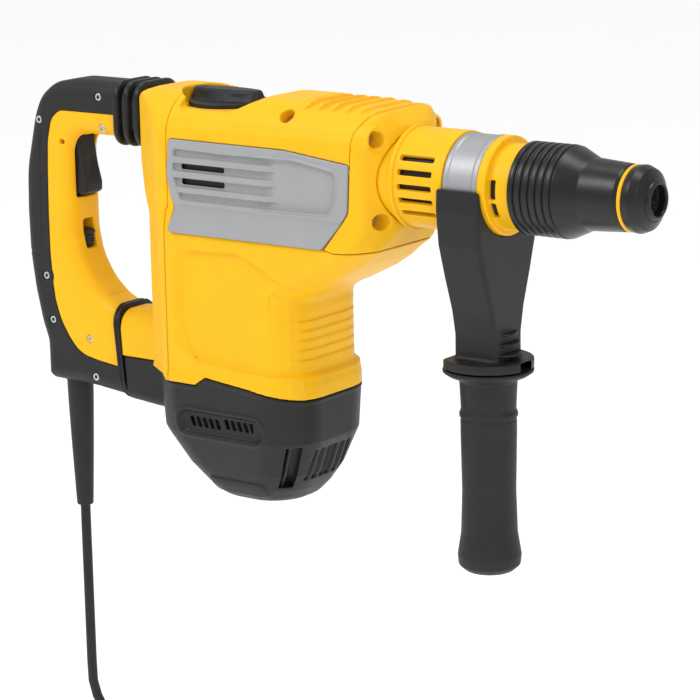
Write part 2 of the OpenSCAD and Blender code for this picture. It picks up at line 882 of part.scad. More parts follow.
module side_grip() {
    color(black) translate([band_x, 0, 0]) difference() {
        rotate_extrude() polygon([[0, -69], [flange_r, -69], [flange_r, -71], [26, -73.4],
            [18.6, -76], [17.8, -96], [18.8, -98.5], [18.8, -101], [grip_d / 2, -108],
            [17.4, -150], [18.4, -178], [20.8, -195], [20, -200], [15, 1 - grip_end],
            [0, -grip_end]]);
        translate([0, 0, -94]) cylinder(h = 30, r = 4.1);
    }
}

// ---------- cord ----------

module strain_relief() {
    color(black) translate([cord_x, 0, 0]) difference() {
        rotate_extrude() polygon([[0, relief_top - gap], [10, relief_top - gap], [9.2, -140],
            [8.2, -170], [6.6, relief_end + 2], [6.0, relief_end], [0, relief_end]]);
    }
}

module power_cord() {
    color(black) {
        cord_tube(lead_route);
        cord_tube(tail_route);
    }
}

module cord_coil() {
    color(black) translate([cord_x, 0, coil_z]) rotate([90, 0, 0])
        rotate_extrude() translate([coil_r - coil_side / 2, -coil_side / 2])
        square([coil_side, coil_side]);
}

module cord_tie() {
    color([0.1, 0.1, 0.1]) translate([cord_x, 0, coil_z]) difference() {
        box([coil_r - coil_side / 2 - 2, -coil_side / 2 - 2, -9],
            [coil_r + coil_side / 2 + 2.6, coil_side / 2 + 2, 9]);
        rotate([90, 0, 0]) rotate_extrude() translate([coil_r - coil_side / 2 - 0.2, -coil_side / 2 - 0.2])
            square([coil_side + 0.4, coil_side + 0.4]);
    }
}

module mains_plug() {
    color(black) {
        translate([plug_x, 0, -570]) linear_extrude(24) round_rect([-16, -8], [16, 8], 6);
        translate([plug_x, 0, -546]) cylinder(h = 14, r1 = 8, r2 = 4.6);
    }
    color(steel) for (side = [-1, 1]) post(plug_x + side * 9.5, 0, -589, -570, 2.4);
}

main_housing();
rear_cover();
nose_housing();
side_panel_right();
side_panel_left();
motor_cap();
barrel();
barrel_collar();
housing_screws();
handle_frame();
handle_overmould();
handle_screws();
upper_bellows();
lower_seal();
handle_pivot_pin();
damper_spring();
trigger();
trigger_pin();
lock_slider();
switch_module();
speed_dial();
control_board();
mode_knob();
stator_core();
field_windings();
armature_shaft();
armature_core();
commutator();
cooling_fan();
motor_bearings();
brush_holders();
carbon_brushes();
crankcase();
crank_gear();
crankshaft();
gear_bearings();
connecting_rod();
wrist_pin();
piston();
ram();
beat_piece();
spindle();
ring_gear();
intermediate_shaft();
intermediate_gear();
spindle_bearings();
locking_rollers();
locking_sleeve();
sleeve_spring();
nose_seal_ring();
nose_cap();
clamp_band();
clamp_fork();
clamp_bolt();
side_grip();
strain_relief();
power_cord();
cord_coil();
cord_tie();
mains_plug();
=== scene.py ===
"""Demolition hammer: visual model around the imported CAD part.

Shapes are given in millimetres, in the CAD's frame.
"""
import math
from itertools import product

import bmesh
import bpy
import numpy as np
from mathutils import Matrix, Vector


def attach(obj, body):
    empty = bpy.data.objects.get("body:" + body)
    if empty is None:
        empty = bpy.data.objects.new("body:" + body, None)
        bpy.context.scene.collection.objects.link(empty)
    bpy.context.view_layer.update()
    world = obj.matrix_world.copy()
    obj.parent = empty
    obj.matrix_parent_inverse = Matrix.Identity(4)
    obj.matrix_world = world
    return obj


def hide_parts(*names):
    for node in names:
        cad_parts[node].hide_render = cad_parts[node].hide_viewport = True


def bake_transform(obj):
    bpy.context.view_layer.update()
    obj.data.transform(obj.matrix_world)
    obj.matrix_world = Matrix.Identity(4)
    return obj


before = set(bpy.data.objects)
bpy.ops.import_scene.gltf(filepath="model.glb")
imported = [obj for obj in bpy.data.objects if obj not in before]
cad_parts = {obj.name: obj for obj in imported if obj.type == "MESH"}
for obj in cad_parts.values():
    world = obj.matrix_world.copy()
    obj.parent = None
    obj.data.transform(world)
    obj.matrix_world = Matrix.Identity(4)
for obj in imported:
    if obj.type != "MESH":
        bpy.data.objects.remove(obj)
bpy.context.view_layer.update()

MM = 0.001
COARSE = 1.0  # how much coarser the sampled shapes are while trying things

AXIS_Z = 50  # height of the tool axis
BAND_X = 355  # middle of the side handle's band
CORD_D = 7.2
SLANT = 0.7071  # sine and cosine of 45 degrees
TOP_SCREW = (224, 35.2, 88.2)  # mouth of the slanting screw hole in the housing's top edge
NOSE_SCREWS = ((33.8, 77.2), (30.5, 24))  # Y and Z of the screws in the nose's corners
SLOT_LEVELS = (38.8, 48.8)  # Z of the side panels' air slots
BARREL_HOLE = 32.9  # radius of the housing's opening round the barrel
MARGIN = 2.5  # steps of empty space round a sampled shape
KNOB_X = 147.5
CORD_X = 3.5  # where the cord leaves the handle
PLUG_X = -62
CAMERA_ANGLES = (36.76, 13.09, -1.09)  # azimuth, elevation and roll in degrees
CAMERA_LENS = 144.07
CAMERA_AIM = (0.245, 0, -0.0714)
CAMERA_DISTANCE = 1.854
FLOOR_Z = -0.62
FLOOR_HALF = 25


# ---------- camera ----------

def make_camera():
    azimuth, elevation, roll = (math.radians(a) for a in CAMERA_ANGLES)
    level = math.cos(elevation)
    back = Vector((math.sin(azimuth) * level, -math.cos(azimuth) * level, math.sin(elevation)))
    right = Vector((math.cos(azimuth), math.sin(azimuth), 0))
    up = back.cross(right)
    right, up = (right * math.cos(roll) + up * math.sin(roll), up * math.cos(roll) - right * math.sin(roll))
    data = bpy.data.cameras.new("camera")
    data.lens, data.sensor_width = CAMERA_LENS, 36
    camera = bpy.data.objects.new("camera", data)
    bpy.context.scene.collection.objects.link(camera)
    place = Matrix((right, up, back)).transposed().to_4x4()
    place.translation = Vector(CAMERA_AIM) + back * CAMERA_DISTANCE
    camera.matrix_world = place
    bpy.context.scene.camera = camera


make_camera()


# ---------- materials ----------

ROUGH_SPREAD = 0.08


def material(name, colour, rough, metal=0.0, tone=0.06, tone_size=60, grain=0.1, grain_size=2200,
             stretch=(1, 1, 1), gloss=0.3):
    """A procedural finish: soft tone changes, a varying roughness and a fine moulded or brushed grain."""
    made = bpy.data.materials.new(name)
    made.use_nodes = True
    tree = made.node_tree
    shader = tree.nodes["Principled BSDF"]
    shader.inputs["Metallic"].default_value = metal
    shader.inputs["Specular IOR Level"].default_value = gloss
    place = tree.nodes.new("ShaderNodeTexCoord")
    scale = tree.nodes.new("ShaderNodeMapping")
    scale.inputs["Scale"].default_value = stretch
    tree.links.new(place.outputs["Object"], scale.inputs["Vector"])

    def noise(size, detail):
        node = tree.nodes.new("ShaderNodeTexNoise")
        node.inputs["Scale"].default_value = size
        node.inputs["Detail"].default_value = detail
        tree.links.new(scale.outputs["Vector"], node.inputs["Vector"])
        return node.outputs["Fac"]

    ramp = tree.nodes.new("ShaderNodeValToRGB")
    low, high = ([min(1, c * f) for c in colour] + [1] for f in (1 - tone, 1 + tone))
    ramp.color_ramp.elements[0].position, ramp.color_ramp.elements[0].color = 0.3, low
    ramp.color_ramp.elements[1].position, ramp.color_ramp.elements[1].color = 0.7, high
    tree.links.new(noise(tone_size, 4), ramp.inputs["Fac"])
    tree.links.new(ramp.outputs["Color"], shader.inputs["Base Color"])
    fine = noise(grain_size, 3)
    level = tree.nodes.new("ShaderNodeMapRange")
    level.inputs["To Min"].default_value = max(0.03, rough - ROUGH_SPREAD)
    level.inputs["To Max"].default_value = min(1, rough + ROUGH_SPREAD)
    tree.links.new(noise(tone_size * 5, 4), level.inputs["Value"])
    tree.links.new(level.outputs["Result"], shader.inputs["Roughness"])
    bump = tree.nodes.new("ShaderNodeBump")
    bump.inputs["Strength"].default_value = grain
    bump.inputs["Distance"].default_value = 0.0003
    tree.links.new(fine, bump.inputs["Height"])
    tree.links.new(bump.outputs["Normal"], shader.inputs["Normal"])
    return made


FINISH = {
    "housing_yellow": material("housing_yellow", (0.90, 0.49, 0.006), 0.44, tone=0.03, grain=0.12,
                               gloss=0.22),
    "panel_grey": material("panel_grey", (0.34, 0.345, 0.355), 0.36, tone=0.03, grain=0.10, gloss=0.4),
    "housing_black": material("housing_black", (0.014, 0.014, 0.015), 0.46, tone=0.10, grain=0.25,
                              grain_size=1600),
    "soft_black": material("soft_black", (0.016, 0.016, 0.017), 0.55, tone=0.12, grain=0.30,
                           grain_size=1900),
    "boot_black": material("boot_black", (0.007, 0.007, 0.0075), 0.34, tone=0.12, grain=0.10,
                           grain_size=900, gloss=0.4),
    "steel": material("steel", (0.58, 0.59, 0.60), 0.30, metal=1, tone=0.05, grain=0.10, stretch=(1, 1, 6)),
    "band_steel": material("band_steel", (0.40, 0.405, 0.42), 0.45, metal=0.6, tone=0.03, grain=0.12,
                           stretch=(8, 1, 1)),
    "alloy": material("alloy", (0.55, 0.56, 0.57), 0.48, metal=1, tone=0.08, grain=0.45, grain_size=900),
    "copper": material("copper", (0.62, 0.26, 0.12), 0.33, metal=1, tone=0.12, grain=0.5,
                       stretch=(1, 1, 12), grain_size=500),
    "brass": material("brass", (0.66, 0.47, 0.18), 0.32, metal=1, tone=0.08),
    "carbon": material("carbon", (0.045, 0.043, 0.042), 0.55, tone=0.2, grain=0.4),
    "board": material("board", (0.02, 0.12, 0.05), 0.42, tone=0.2, tone_size=220, grain=0.2),
    "seal_yellow": material("seal_yellow", (0.93, 0.50, 0.01), 0.45, tone=0.04, grain=0.1),
    "cord_black": material("cord_black", (0.014, 0.014, 0.015), 0.50, tone=0.10, grain=0.25),
}


# ---------- sampled shapes: signed distances in millimetres, negative inside ----------

def smooth(a, b, x):
    t = np.clip((x - a) / (b - a), 0, 1)
    return t * t * (3 - 2 * t)


def meet(r, a, b):
    """Where both shapes are, with the edge between them rounded by r."""
    r = np.maximum(r, 0.001)
    u, v = np.maximum(a + r, 0), np.maximum(b + r, 0)
    return np.minimum(np.maximum(a, b), -r) + np.sqrt(u * u + v * v)


def join(r, a, b):
    """Both shapes together, with a fillet of radius r between them."""
    return -meet(r, -a, -b)


def cut(r, a, b):
    """Shape a without shape b."""
    return meet(r, a, -b)


def rounded(points, steps=6):
    """An outline whose corners, given as (u, v, radius), are turned into arcs."""
    out = []
    for i, corner in enumerate(points):
        c = np.array(corner[:2], float)
        r = corner[2] if len(corner) > 2 else 0
        to_last = np.array(points[i - 1][:2], float) - c
        to_next = np.array(points[(i + 1) % len(points)][:2], float) - c
        room = 0.49 * min(np.linalg.norm(to_last), np.linalg.norm(to_next))
        a, b = to_last / np.linalg.norm(to_last), to_next / np.linalg.norm(to_next)
        half = math.acos(max(-1, min(1, float(a @ b)))) / 2
        if r <= 0 or half > 1.55 or half < 0.02:
            out.append(tuple(c))
            continue
        reach = min(r / math.tan(half), room)
        r = reach * math.tan(half)
        middle = c + (a + b) / np.linalg.norm(a + b) * r / math.sin(half)
        start, end = c + a * reach - middle, c + b * reach - middle
        turn = math.atan2(start[0] * end[1] - start[1] * end[0], float(start @ end))
        first = math.atan2(start[1], start[0])
        for k in range(steps + 1):
            t = first + turn * k / steps
            out.append((middle[0] + r * math.cos(t), middle[1] + r * math.sin(t)))
    return out


def outline(u, v, points):
    """Distance to a closed outline in the plane of u and v."""
    near = np.full(np.broadcast(u, v).shape, 1e12)
    inside = np.zeros(near.shape, bool)
    for (ax, ay), (bx, by) in zip(points, points[1:] + points[:1]):
        ex, ey = bx - ax, by - ay
        if ex * ex + ey * ey < 1e-12:
            continue
        t = np.clip(((u - ax) * ex + (v - ay) * ey) / (ex * ex + ey * ey), 0, 1)
        near = np.minimum(near, (u - ax - t * ex) ** 2 + (v - ay - t * ey) ** 2)
        if ey:
            inside ^= ((ay <= v) != (by <= v)) & (u < ax + (v - ay) * ex / ey)
    return (np.where(inside, -1, 1) * np.sqrt(near)).astype(np.float32)


def slab(u, low, high):
    return np.abs(u - (low + high) / 2) - (high - low) / 2


def rectangle(u, v, low, high, r):
    """Distance to a rectangle with round corners."""
    a, b = slab(u, low[0], high[0]) + r, slab(v, low[1], high[1]) + r
    return np.minimum(np.maximum(a, b), 0) + np.hypot(np.maximum(a, 0), np.maximum(b, 0)) - r


class Grid:
    """A box of sample points. With mirrored it covers y from 0 up, and the mesh's other half is its image."""

    def __init__(self, low, high, step, mirrored=True):
        self.step, self.mirrored = step * COARSE, mirrored
        axes = []
        for k in range(3):
            start = 0 if mirrored and k == 1 else low[k] - MARGIN * self.step
            count = math.ceil((high[k] + MARGIN * self.step - start) / self.step) + 1
            axes.append((start + self.step * np.arange(count)).astype(np.float32))
        self.axes = axes
        self.x, self.y, self.z = axes[0][:, None, None], axes[1][None, :, None], axes[2][None, None, :]
        self.d = None

    def by_height(self, levels, values):
        """A value that changes with Z, given at some levels."""
        return np.interp(self.axes[2], levels, values)[None, None, :]

    def side(self, points):
        return outline(self.x, self.z, rounded(points))

    def plan(self, points):
        return outline(self.x, self.y_abs(), rounded(points))

    def front(self, points):
        return outline(self.y_abs(), self.z, rounded(points))

    def radius(self):
        """Distance from the tool axis."""
        return np.hypot(self.y, self.z - AXIS_Z)

    def arc(self, degrees, r):
        """How far round the tool axis a point is from an angle, along a circle of radius r."""
        angle = np.degrees(np.arctan2(self.z - AXIS_Z, np.maximum(self.y, 1e-3)))
        return (angle - degrees) * np.pi / 180 * r

    def turned(self, points):
        """Distance to a solid turned about the tool axis, its outline given as (x, radius, corner radius)."""
        rho = self.radius()[0]
        levels = np.arange(0, float(rho.max()) + 1, 0.2, dtype=np.float32)
        table = outline(self.axes[0][:, None], levels[None, :], rounded(points))
        return np.stack([np.interp(rho, levels, row).astype(np.float32) for row in table])

    def box(self, low, high, r):
        a, b, c = (slab(t, l, h) + r for t, l, h in zip((self.x, self.y, self.z), low, high))
        out = np.sqrt(np.maximum(a, 0) ** 2 + np.maximum(b, 0) ** 2 + np.maximum(c, 0) ** 2)
        return out + np.minimum(np.maximum(np.maximum(a, b), c), 0) - r

    def along_x(self, y, z, r):
        return np.hypot(self.y - y, self.z - z) - r

    def along_y(self, x, z, r):
        return np.hypot(self.x - x, self.z - z) - r

    def along_z(self, x, r):
        return np.hypot(self.x - x, self.y) - r

    def y_abs(self):
        return np.abs(self.y)

    def full(self):
        """All the distances, and the lowest corner of the box they fill."""
        d = np.broadcast_to(self.d, tuple(len(a) for a in self.axes)).astype(np.float32)
        low = np.array([a[0] for a in self.axes], float)
        if self.mirrored:
            d = np.concatenate([d[:, :0:-1], d], 1)
            low[1] = -float(self.axes[1][-1])
        return d, low


def sample(d, p):
    """The distance at points given in steps, between the samples."""
    p = np.clip(p, 0, np.array(d.shape) - 1.001)
    i = p.astype(np.int32)
    f = p - i
    out = 0
    for c in product((0, 1), repeat=3):
        weight = np.prod(np.where(c, f, 1 - f), axis=1)
        out = out + weight * d[i[:, 0] + c[0], i[:, 1] + c[1], i[:, 2] + c[2]]
    return out


def gradient(d, p, reach=0.6):
    out = np.empty_like(p)
    for k in range(3):
        shift = np.eye(3)[k] * reach
        out[:, k] = sample(d, p + shift) - sample(d, p - shift)
    return out / (2 * reach)


def surface(d):
    """Points and four-sided faces where the distances change sign (surface nets)."""
    within = d < 0
    n = np.array(d.shape) - 1
    corners = np.zeros(n, np.int8)
    for i, j, k in product((0, 1), repeat=3):
        corners += within[i:i + n[0], j:j + n[1], k:k + n[2]]
    cells = np.argwhere((corners > 0) & (corners < 8))
    number = np.full(n, -1, np.int32)
    number[tuple(cells.T)] = np.arange(len(cells))
    points, hits = np.zeros((len(cells), 3)), np.zeros(len(cells))
    units = np.eye(3, dtype=int)
    for axis in range(3):
        u, v = (units[k] for k in range(3) if k != axis)
        for i, j in product((0, 1), repeat=2):
            a = cells + i * u + j * v
            one, two = d[tuple(a.T)], d[tuple((a + units[axis]).T)]
            hit = (one < 0) != (two < 0)
            share = one[hit] / (one[hit] - two[hit])
            points[hit] += i * u + j * v + share[:, None] * units[axis]
            hits[hit] += 1
    points = cells + points / hits[:, None]
    faces = []
    for axis in range(3):
        ua, va = (k for k in range(3) if k != axis)
        first, second = [slice(None)] * 3, [slice(None)] * 3
        first[axis], second[axis] = slice(None, -1), slice(1, None)
        edges = np.argwhere(within[tuple(first)] != within[tuple(second)])
        ok = (edges[:, ua] > 0) & (edges[:, ua] < n[ua]) & (edges[:, va] > 0) & (edges[:, va] < n[va])
        edges = edges[ok]
        steps = (0 * units[0], units[ua], units[ua] + units[va], units[va])
        quad = np.stack([number[tuple((edges - s).T)] for s in steps], 1)
        flip = within[tuple(edges.T)] == (axis == 1)
        quad[flip] = quad[flip][:, ::-1]
        faces.append(quad)
    return points, np.concatenate(faces)


# ---------- objects ----------

def dress(obj, body, slot_name, *nodes, finish=None):
    """Gives a piece its finish, body and the CAD nodes that it stands for."""
    obj.data.materials.append(FINISH[finish or slot_name])
    if nodes:
        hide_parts(*nodes)
    if body:
        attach(obj, body)
    return obj


def link(name, mesh):
    obj = bpy.data.objects.new(name, mesh)
    bpy.context.scene.collection.objects.link(obj)
    return obj


def mesh_from(name, points, faces):
    """A mesh from points in millimetres and faces that all have as many corners as each other."""
    mesh = bpy.data.meshes.new(name)
    mesh.vertices.add(len(points))
    mesh.vertices.foreach_set("co", (np.asarray(points) * MM).astype(np.float32).ravel())
    mesh.loops.add(faces.size)
    mesh.loops.foreach_set("vertex_index", faces.astype(np.int32).ravel())
    mesh.polygons.add(len(faces))
    mesh.polygons.foreach_set("loop_start", np.arange(0, faces.size, faces.shape[1], dtype=np.int32))
    mesh.update(calc_edges=True)
    mesh.validate()
    return mesh


def solid(name, grid, keep=0.5, flip_y=False):
    """A grid's surface as an object, thinned to a share of its faces, with smooth normals."""
    d, low = grid.full()
    points, faces = surface(d)
    slope = gradient(d, points)
    steep = np.maximum((slope ** 2).sum(1), 1e-6)
    move = slope * (sample(d, points) / steep)[:, None]
    points -= np.clip(move, -0.4, 0.4)
    obj = link(name, mesh_from(name, points * grid.step + low, faces))
    obj.modifiers.new("thin", "DECIMATE").ratio = keep
    made = bpy.data.meshes.new_from_object(obj.evaluated_get(bpy.context.evaluated_depsgraph_get()))
    obj.modifiers.clear()
    old, obj.data = obj.data, made
    bpy.data.meshes.remove(old)
    obj.data.name = name
    co = np.empty(len(obj.data.vertices) * 3, np.float32)
    obj.data.vertices.foreach_get("co", co)
    co = co.reshape(-1, 3)
    normals = gradient(d, (co / MM - low) / grid.step)
    normals /= np.maximum(np.linalg.norm(normals, axis=1), 1e-9)[:, None]
    if flip_y:
        co[:, 1] *= -1
        normals[:, 1] *= -1
        obj.data.vertices.foreach_set("co", co.ravel())
        obj.data.flip_normals()
    obj.data.shade_smooth()
    obj.data.normals_split_custom_set_from_vertices(normals)
    return obj


def strips(count, sides, closed):
    """Four-sided faces between neighbouring rings of points."""
    i, k = np.meshgrid(np.arange(count if closed else count - 1), np.arange(sides), indexing="ij")
    j, m = (i + 1) % count, (k + 1) % sides
    return np.stack([i * sides + k, j * sides + k, j * sides + m, i * sides + m], 2).reshape(-1, 4)


def lathe(name, points, sides, place, arcs=5):
    """A turned piece: a closed outline of (along, radius, corner radius), turned about X, then placed."""
    line = rounded(points, arcs)
    sides = max(12, int(sides / (1)))
    turn = np.arange(sides) * 2 * np.pi / sides
    a = np.array(line)
    ring = np.stack([np.repeat(a[:, :1], sides, 1), a[:, 1:] * np.cos(turn), a[:, 1:] * np.sin(turn)], 2)
    faces = strips(len(a), sides, True)
    area = sum(p[0] * q[1] - q[0] * p[1] for p, q in zip(line, line[1:] + line[:1]))
    if area > 0:
        faces = faces[:, ::-1]
    mesh = mesh_from(name, np.array([place @ Vector(p) for p in ring.reshape(-1, 3)]), faces)
    obj = link(name, mesh)
    weld(obj)
    mesh.shade_smooth()
    mesh.set_sharp_from_angle(angle=math.radians(32))
    return obj


def downward(x):
    """Where a turned piece goes whose axis points straight down at X."""
    return Matrix.Translation((x, 0, 0)) @ Matrix.Rotation(math.radians(90), 4, "Y")


def weld(obj):
    """Joins points that lie on each other, such as a turned outline's where it meets its axis."""
    made = bmesh.new()
    made.from_mesh(obj.data)
    bmesh.ops.remove_doubles(made, verts=made.verts, dist=1e-6)
    bmesh.ops.recalc_face_normals(made, faces=made.faces)
    made.to_mesh(obj.data)
    made.free()


# ---------- cord ----------

COIL = (CORD_X, -435)  # X and Z of the coil's middle
LANES = (10.8, 3.6, -3.6, -10.8)  # Y of the coil's columns
RADII = (50.4, 43.2, 36.0, 28.8)
TURNS = 15.4236
SHIFT = 0.2  # share of a turn in which the cord moves to its next place


def coil_place(k):
    """Y and radius of turn k: out and in again, column by column."""
    column, row = divmod(k, 4)
    return LANES[column], RADII[row if column % 2 == 0 else 3 - row]


def cord_path():
    path = [(CORD_X, 0, z) for z in range(-215, -336, -20)]
    path += [(4, 0, -350), (6, 1.5, -361.5), (10.4, 4, -372.6), (16.6, 6.8, -381), (21.6, 9.2, -386.2)]
    start = math.radians(62.5)
    steps = int(TURNS * 30)
    for i in range(steps + 1):
        turn = TURNS * i / steps
        k = int(turn)
        y, r = coil_place(k)
        move = float(smooth(1 - SHIFT, 1, turn - k))
        if k < 15 and move > 0:
            y2, r2 = coil_place(k + 1)
            y, r = y + (y2 - y) * move, r + (r2 - r) * move
            if k % 4 == 3:
                r += (2.9 if k == 7 else -2.9) * math.sin(math.pi * move)
        angle = start - 2 * math.pi * turn
        path.append((COIL[0] + r * math.cos(angle), y, COIL[1] + r * math.sin(angle)))
    tail = [(-2, -485.5), (-12, -485.7), (-23, -486), (-33, -487.3), (-42.5, -491.2), (-50.6, -497.4),
            (-56.8, -505.5), (-60.7, -514.9), (-62, -525), (-62, -532)]
    for i, (x, z) in enumerate(tail):
        path.append((x, -10.8 * (1 - float(smooth(0, 7, i))), z))
    return path


def make_cord():
    curve = bpy.data.curves.new("mains_cord", "CURVE")
    curve.dimensions = "3D"
    curve.bevel_depth = CORD_D / 2 * MM
    curve.bevel_resolution = 3
    curve.use_fill_caps = True
    points = cord_path()
    spline = curve.splines.new("POLY")
    spline.points.add(len(points) - 1)
    for point, place in zip(spline.points, points):
        point.co = (*(c * MM for c in place), 1)
    spline.use_smooth = True
    return dress(link("mains_cord", curve), "handle", "cord_black", "power_cord", "cord_coil")


def make_cord_tie():
    """A rubber band round the bundle at the coil's front side."""
    g = Grid((25, -20, -448), (68, 20, -422), 0.5)
    outer = rectangle(g.x, g.y, (26.9, -17.3), (60.2, 17.3), 6)
    inner = rectangle(g.x, g.y, (28.4, -15.6), (58.6, 15.6), 4.6)
    strap = cut(0.4, outer, inner)
    ribs = 0.25 * np.abs(np.sin((g.z + 435) * np.pi / 3))
    g.d = meet(0.8, strap + ribs * (np.abs(inner) > 0.8), slab(g.z, -444, -426))
    return dress(solid("tie_band", g), "handle", "soft_black", "cord_tie")


def make_plug():
    g = Grid((-82, -12, -592), (-42, 12, -528), 0.45)
    x = g.x - PLUG_X
    wide = g.by_height([-572, -570, -560, -550, -546, -538, -532], [15.2, 16, 15.2, 14.4, 9, 6.6, 5.2])
    thick = g.by_height([-572, -570, -558, -548, -546, -538, -532], [7.2, 8, 7.6, 8.2, 7.4, 6.0, 5.2])
    shape = rectangle(x, g.y, (-wide, -thick), (wide, thick), np.minimum(thick - 0.1, 6.2))
    grooves = 0.9 * smooth(0.55, 0.95, np.sin((g.z + 546) * np.pi * 2 / 3.2)) * (g.z > -546) * (g.z < -534)
    grips = 0.7 * smooth(0.3, 0.9, np.sin((g.z + 560) * np.pi * 2 / 2.6))
    grips = grips * (np.abs(g.z + 559) < 5.5) * (np.abs(x) > 11)
    g.d = meet(1.5, shape + grooves + grips, slab(g.z, -570, -532))
    body = dress(solid("plug_body", g), "handle", "soft_black", "mains_plug")
    pins = []
    for side, name in ((-1, "plug_pin_one"), (1, "plug_pin_two")):
        place = downward(PLUG_X + side * 9.5)
        pin = lathe(name, [(569.5, 0), (569.5, 2.4), (589, 2.4, 1.6), (589, 0)], 40, place)
        pins.append(dress(pin, "handle", "brass"))
        line = [(569.6, 2.3), (569.6, 2.75), (578, 2.55, 0.3), (578, 2.3)]
        pins.append(dress(lathe(name + "_sheath", line, 40, place), "handle", "soft_black"))
    return [body, *pins]


def make_relief():
    """The long smooth taper that guides the cord out of the handle."""
    line = [(115, 3.7), (115, 10.2), (121.6, 10.2, 1), (121.6, 9.4), (128, 9.3), (140, 9.0), (170, 7.9),
            (207, 6.3), (215.2, 5.9, 1.6), (215.2, 3.7)]
    return dress(lathe("relief_boot", line, 64, downward(CORD_X)), "handle", "soft_black", "strain_relief")


cord = make_cord()
on_cord = [make_relief(), make_cord_tie(), *make_plug()]


# ---------- yellow housing ----------

LABEL_FIELD = [(141, -6, 6), (134, -12, 4), (134, -68, 3), (150, -82, 3), (229, -86.5, 3), (264, -88),
               (264, -22), (240, -26), (230, -23), (220, -18.6), (208, -12.6), (197, -7.5), (188, -4, 5)]
PANEL = [(131, 67, 3), (228, 66.6, 60), (279, 61, 1.2), (277.4, 30, 10), (259.4, 5.4, 2), (131, 5, 3),
         (134, 21.4), (128.6, 42)]
NOSE_PART = [(290, 130), (290, 96, 8), (280.6, 80, 20), (279.7, 61), (278, 30, 10), (259.8, 5.0),
             (268, 3.4, 4), (300, 4.5), (330, 14), (330, 130)]
CAP_SEAM = ([93, 121, 125, 150, 159, 196, 214, 230, 241],
            [-94, -94, -98, -98, -92, -95.6, -98.6, -101.5, -101.5])
REAR_SEAM = [(128.3, 130), (128.3, 21, 1), (126.8, 19, 1), (126.8, -130), (40, -130), (40, 130)]
FRONT_PROFILE = [(-70, 97), (44, 97, 30), (44, 22, 25), (47.3, 5, 14), (47, -30), (47, -60), (-70, -60)]
TOP_STEP = 11.0


def rear_chamfer(g):
    """The long flat chamfer between the housing's rear face and its sides."""
    return (0.6875 * (87 - g.x) + g.y_abs() - 22) / 1.2135


def housing_shape(g):
    """The whole yellow shell before it is parted, with its inner space."""
    side = g.side([(87, 46, 20), (87, 90, 5), (97, 97.4), (134, 123), (172, 117), (272, 97.4, 30),
                   (292.5, 93.5, 8), (303, 84, 4), (303, 22, 10), (290, 3, 12), (276, -8, 14),
                   (262, -17, 10), (240, -28, 6), (215, -34), (215, -45), (100, -45), (100, 14, 6),
                   (97, 17, 4), (92, 27, 8)])
    front = g.front(FRONT_PROFILE)
    forward = smooth(268, 292, g.x)
    low = smooth(16, -6, g.z) * smooth(204, 238, g.x)
    gear = meet(3.5 + 8.5 * forward * smooth(95, 80, g.z) + 15 * low, side, front)
    gear = meet(2.5, gear, rear_chamfer(g))
    gear = meet(6, gear, 0.816 * (g.x - 286) + 0.578 * (g.y_abs() - 44))
    plan = g.plan([(100, -70), (100, 30.9, 6), (124, 47.4, 14), (234, 47.2, 31), (234, -70)])
    field = g.side(LABEL_FIELD)
    sunk = 3.8 * np.clip(-field / (2.0 + 4.2 * smooth(150, 141, g.x)), 0, 1)
    step = ((g.z + 76) / 6.6) % 1
    ribs = 1.4 * (1 - step) * smooth(0, 0.12, step) * smooth(-76.4, -76, g.z)
    ribs = ribs * smooth(-42.6, -43, g.z) * smooth(221, 228, g.x)
    rim = 0.9 * smooth(-88, -94, g.z)
    motor = plan - rim + (sunk + ribs * (sunk > 2)) * (plan > -12)
    motor = np.maximum(motor, g.z + 12)
    gear = gear + sunk * smooth(240, 236, g.x) * smooth(36, 42, g.y_abs())
    outer = join(12 * smooth(214, 238, g.x), gear, motor)
    inner = np.minimum(meet(2, side + 3, front + 3), np.maximum(plan + 3, g.z + 15))
    x, y, z = g.x - TOP_SCREW[0], g.y_abs() - TOP_SCREW[1], g.z - TOP_SCREW[2]
    tilt = (x ** 2 + (y * SLANT - z * SLANT) ** 2) ** 0.5
    depth = y * SLANT + z * SLANT
    teeth = ((g.x - 234) / TOP_STEP) % 1
    tops = 3.2 * (1 - teeth) * smooth(0, 0.08, teeth) * smooth(228, 230, g.x) * smooth(293, 288, g.x)
    outer = outer + tops * smooth(90.6, 92.4, g.z)
    inner = np.maximum(inner, outer + 2.8)
    inner = np.maximum(inner, np.minimum(8.2 - tilt, depth + 14))
    outer = cut(0.8, outer, np.maximum(tilt - 5.3, -9 - depth))
    pocket = np.maximum(g.along_z(KNOB_X, 30.5), 85.9 - g.z)
    dip = g.side([(133.5, 86, 3), (176, 86, 12), (199, 97.8), (199, 130), (133.5, 130)])
    outer = cut(1.0, outer, np.minimum(pocket, dip))
    inner = np.maximum(inner, g.z - 82.5)
    return outer, inner


def seam(shape, other, gap=0.22, r=0.6):
    """Keeps the part of a shape within another, with a fine open seam between neighbours."""
    return meet(r, shape, other + gap)


def cap_level(g, lift):
    return np.interp(g.axes[0], *CAP_SEAM)[:, None, None] + lift


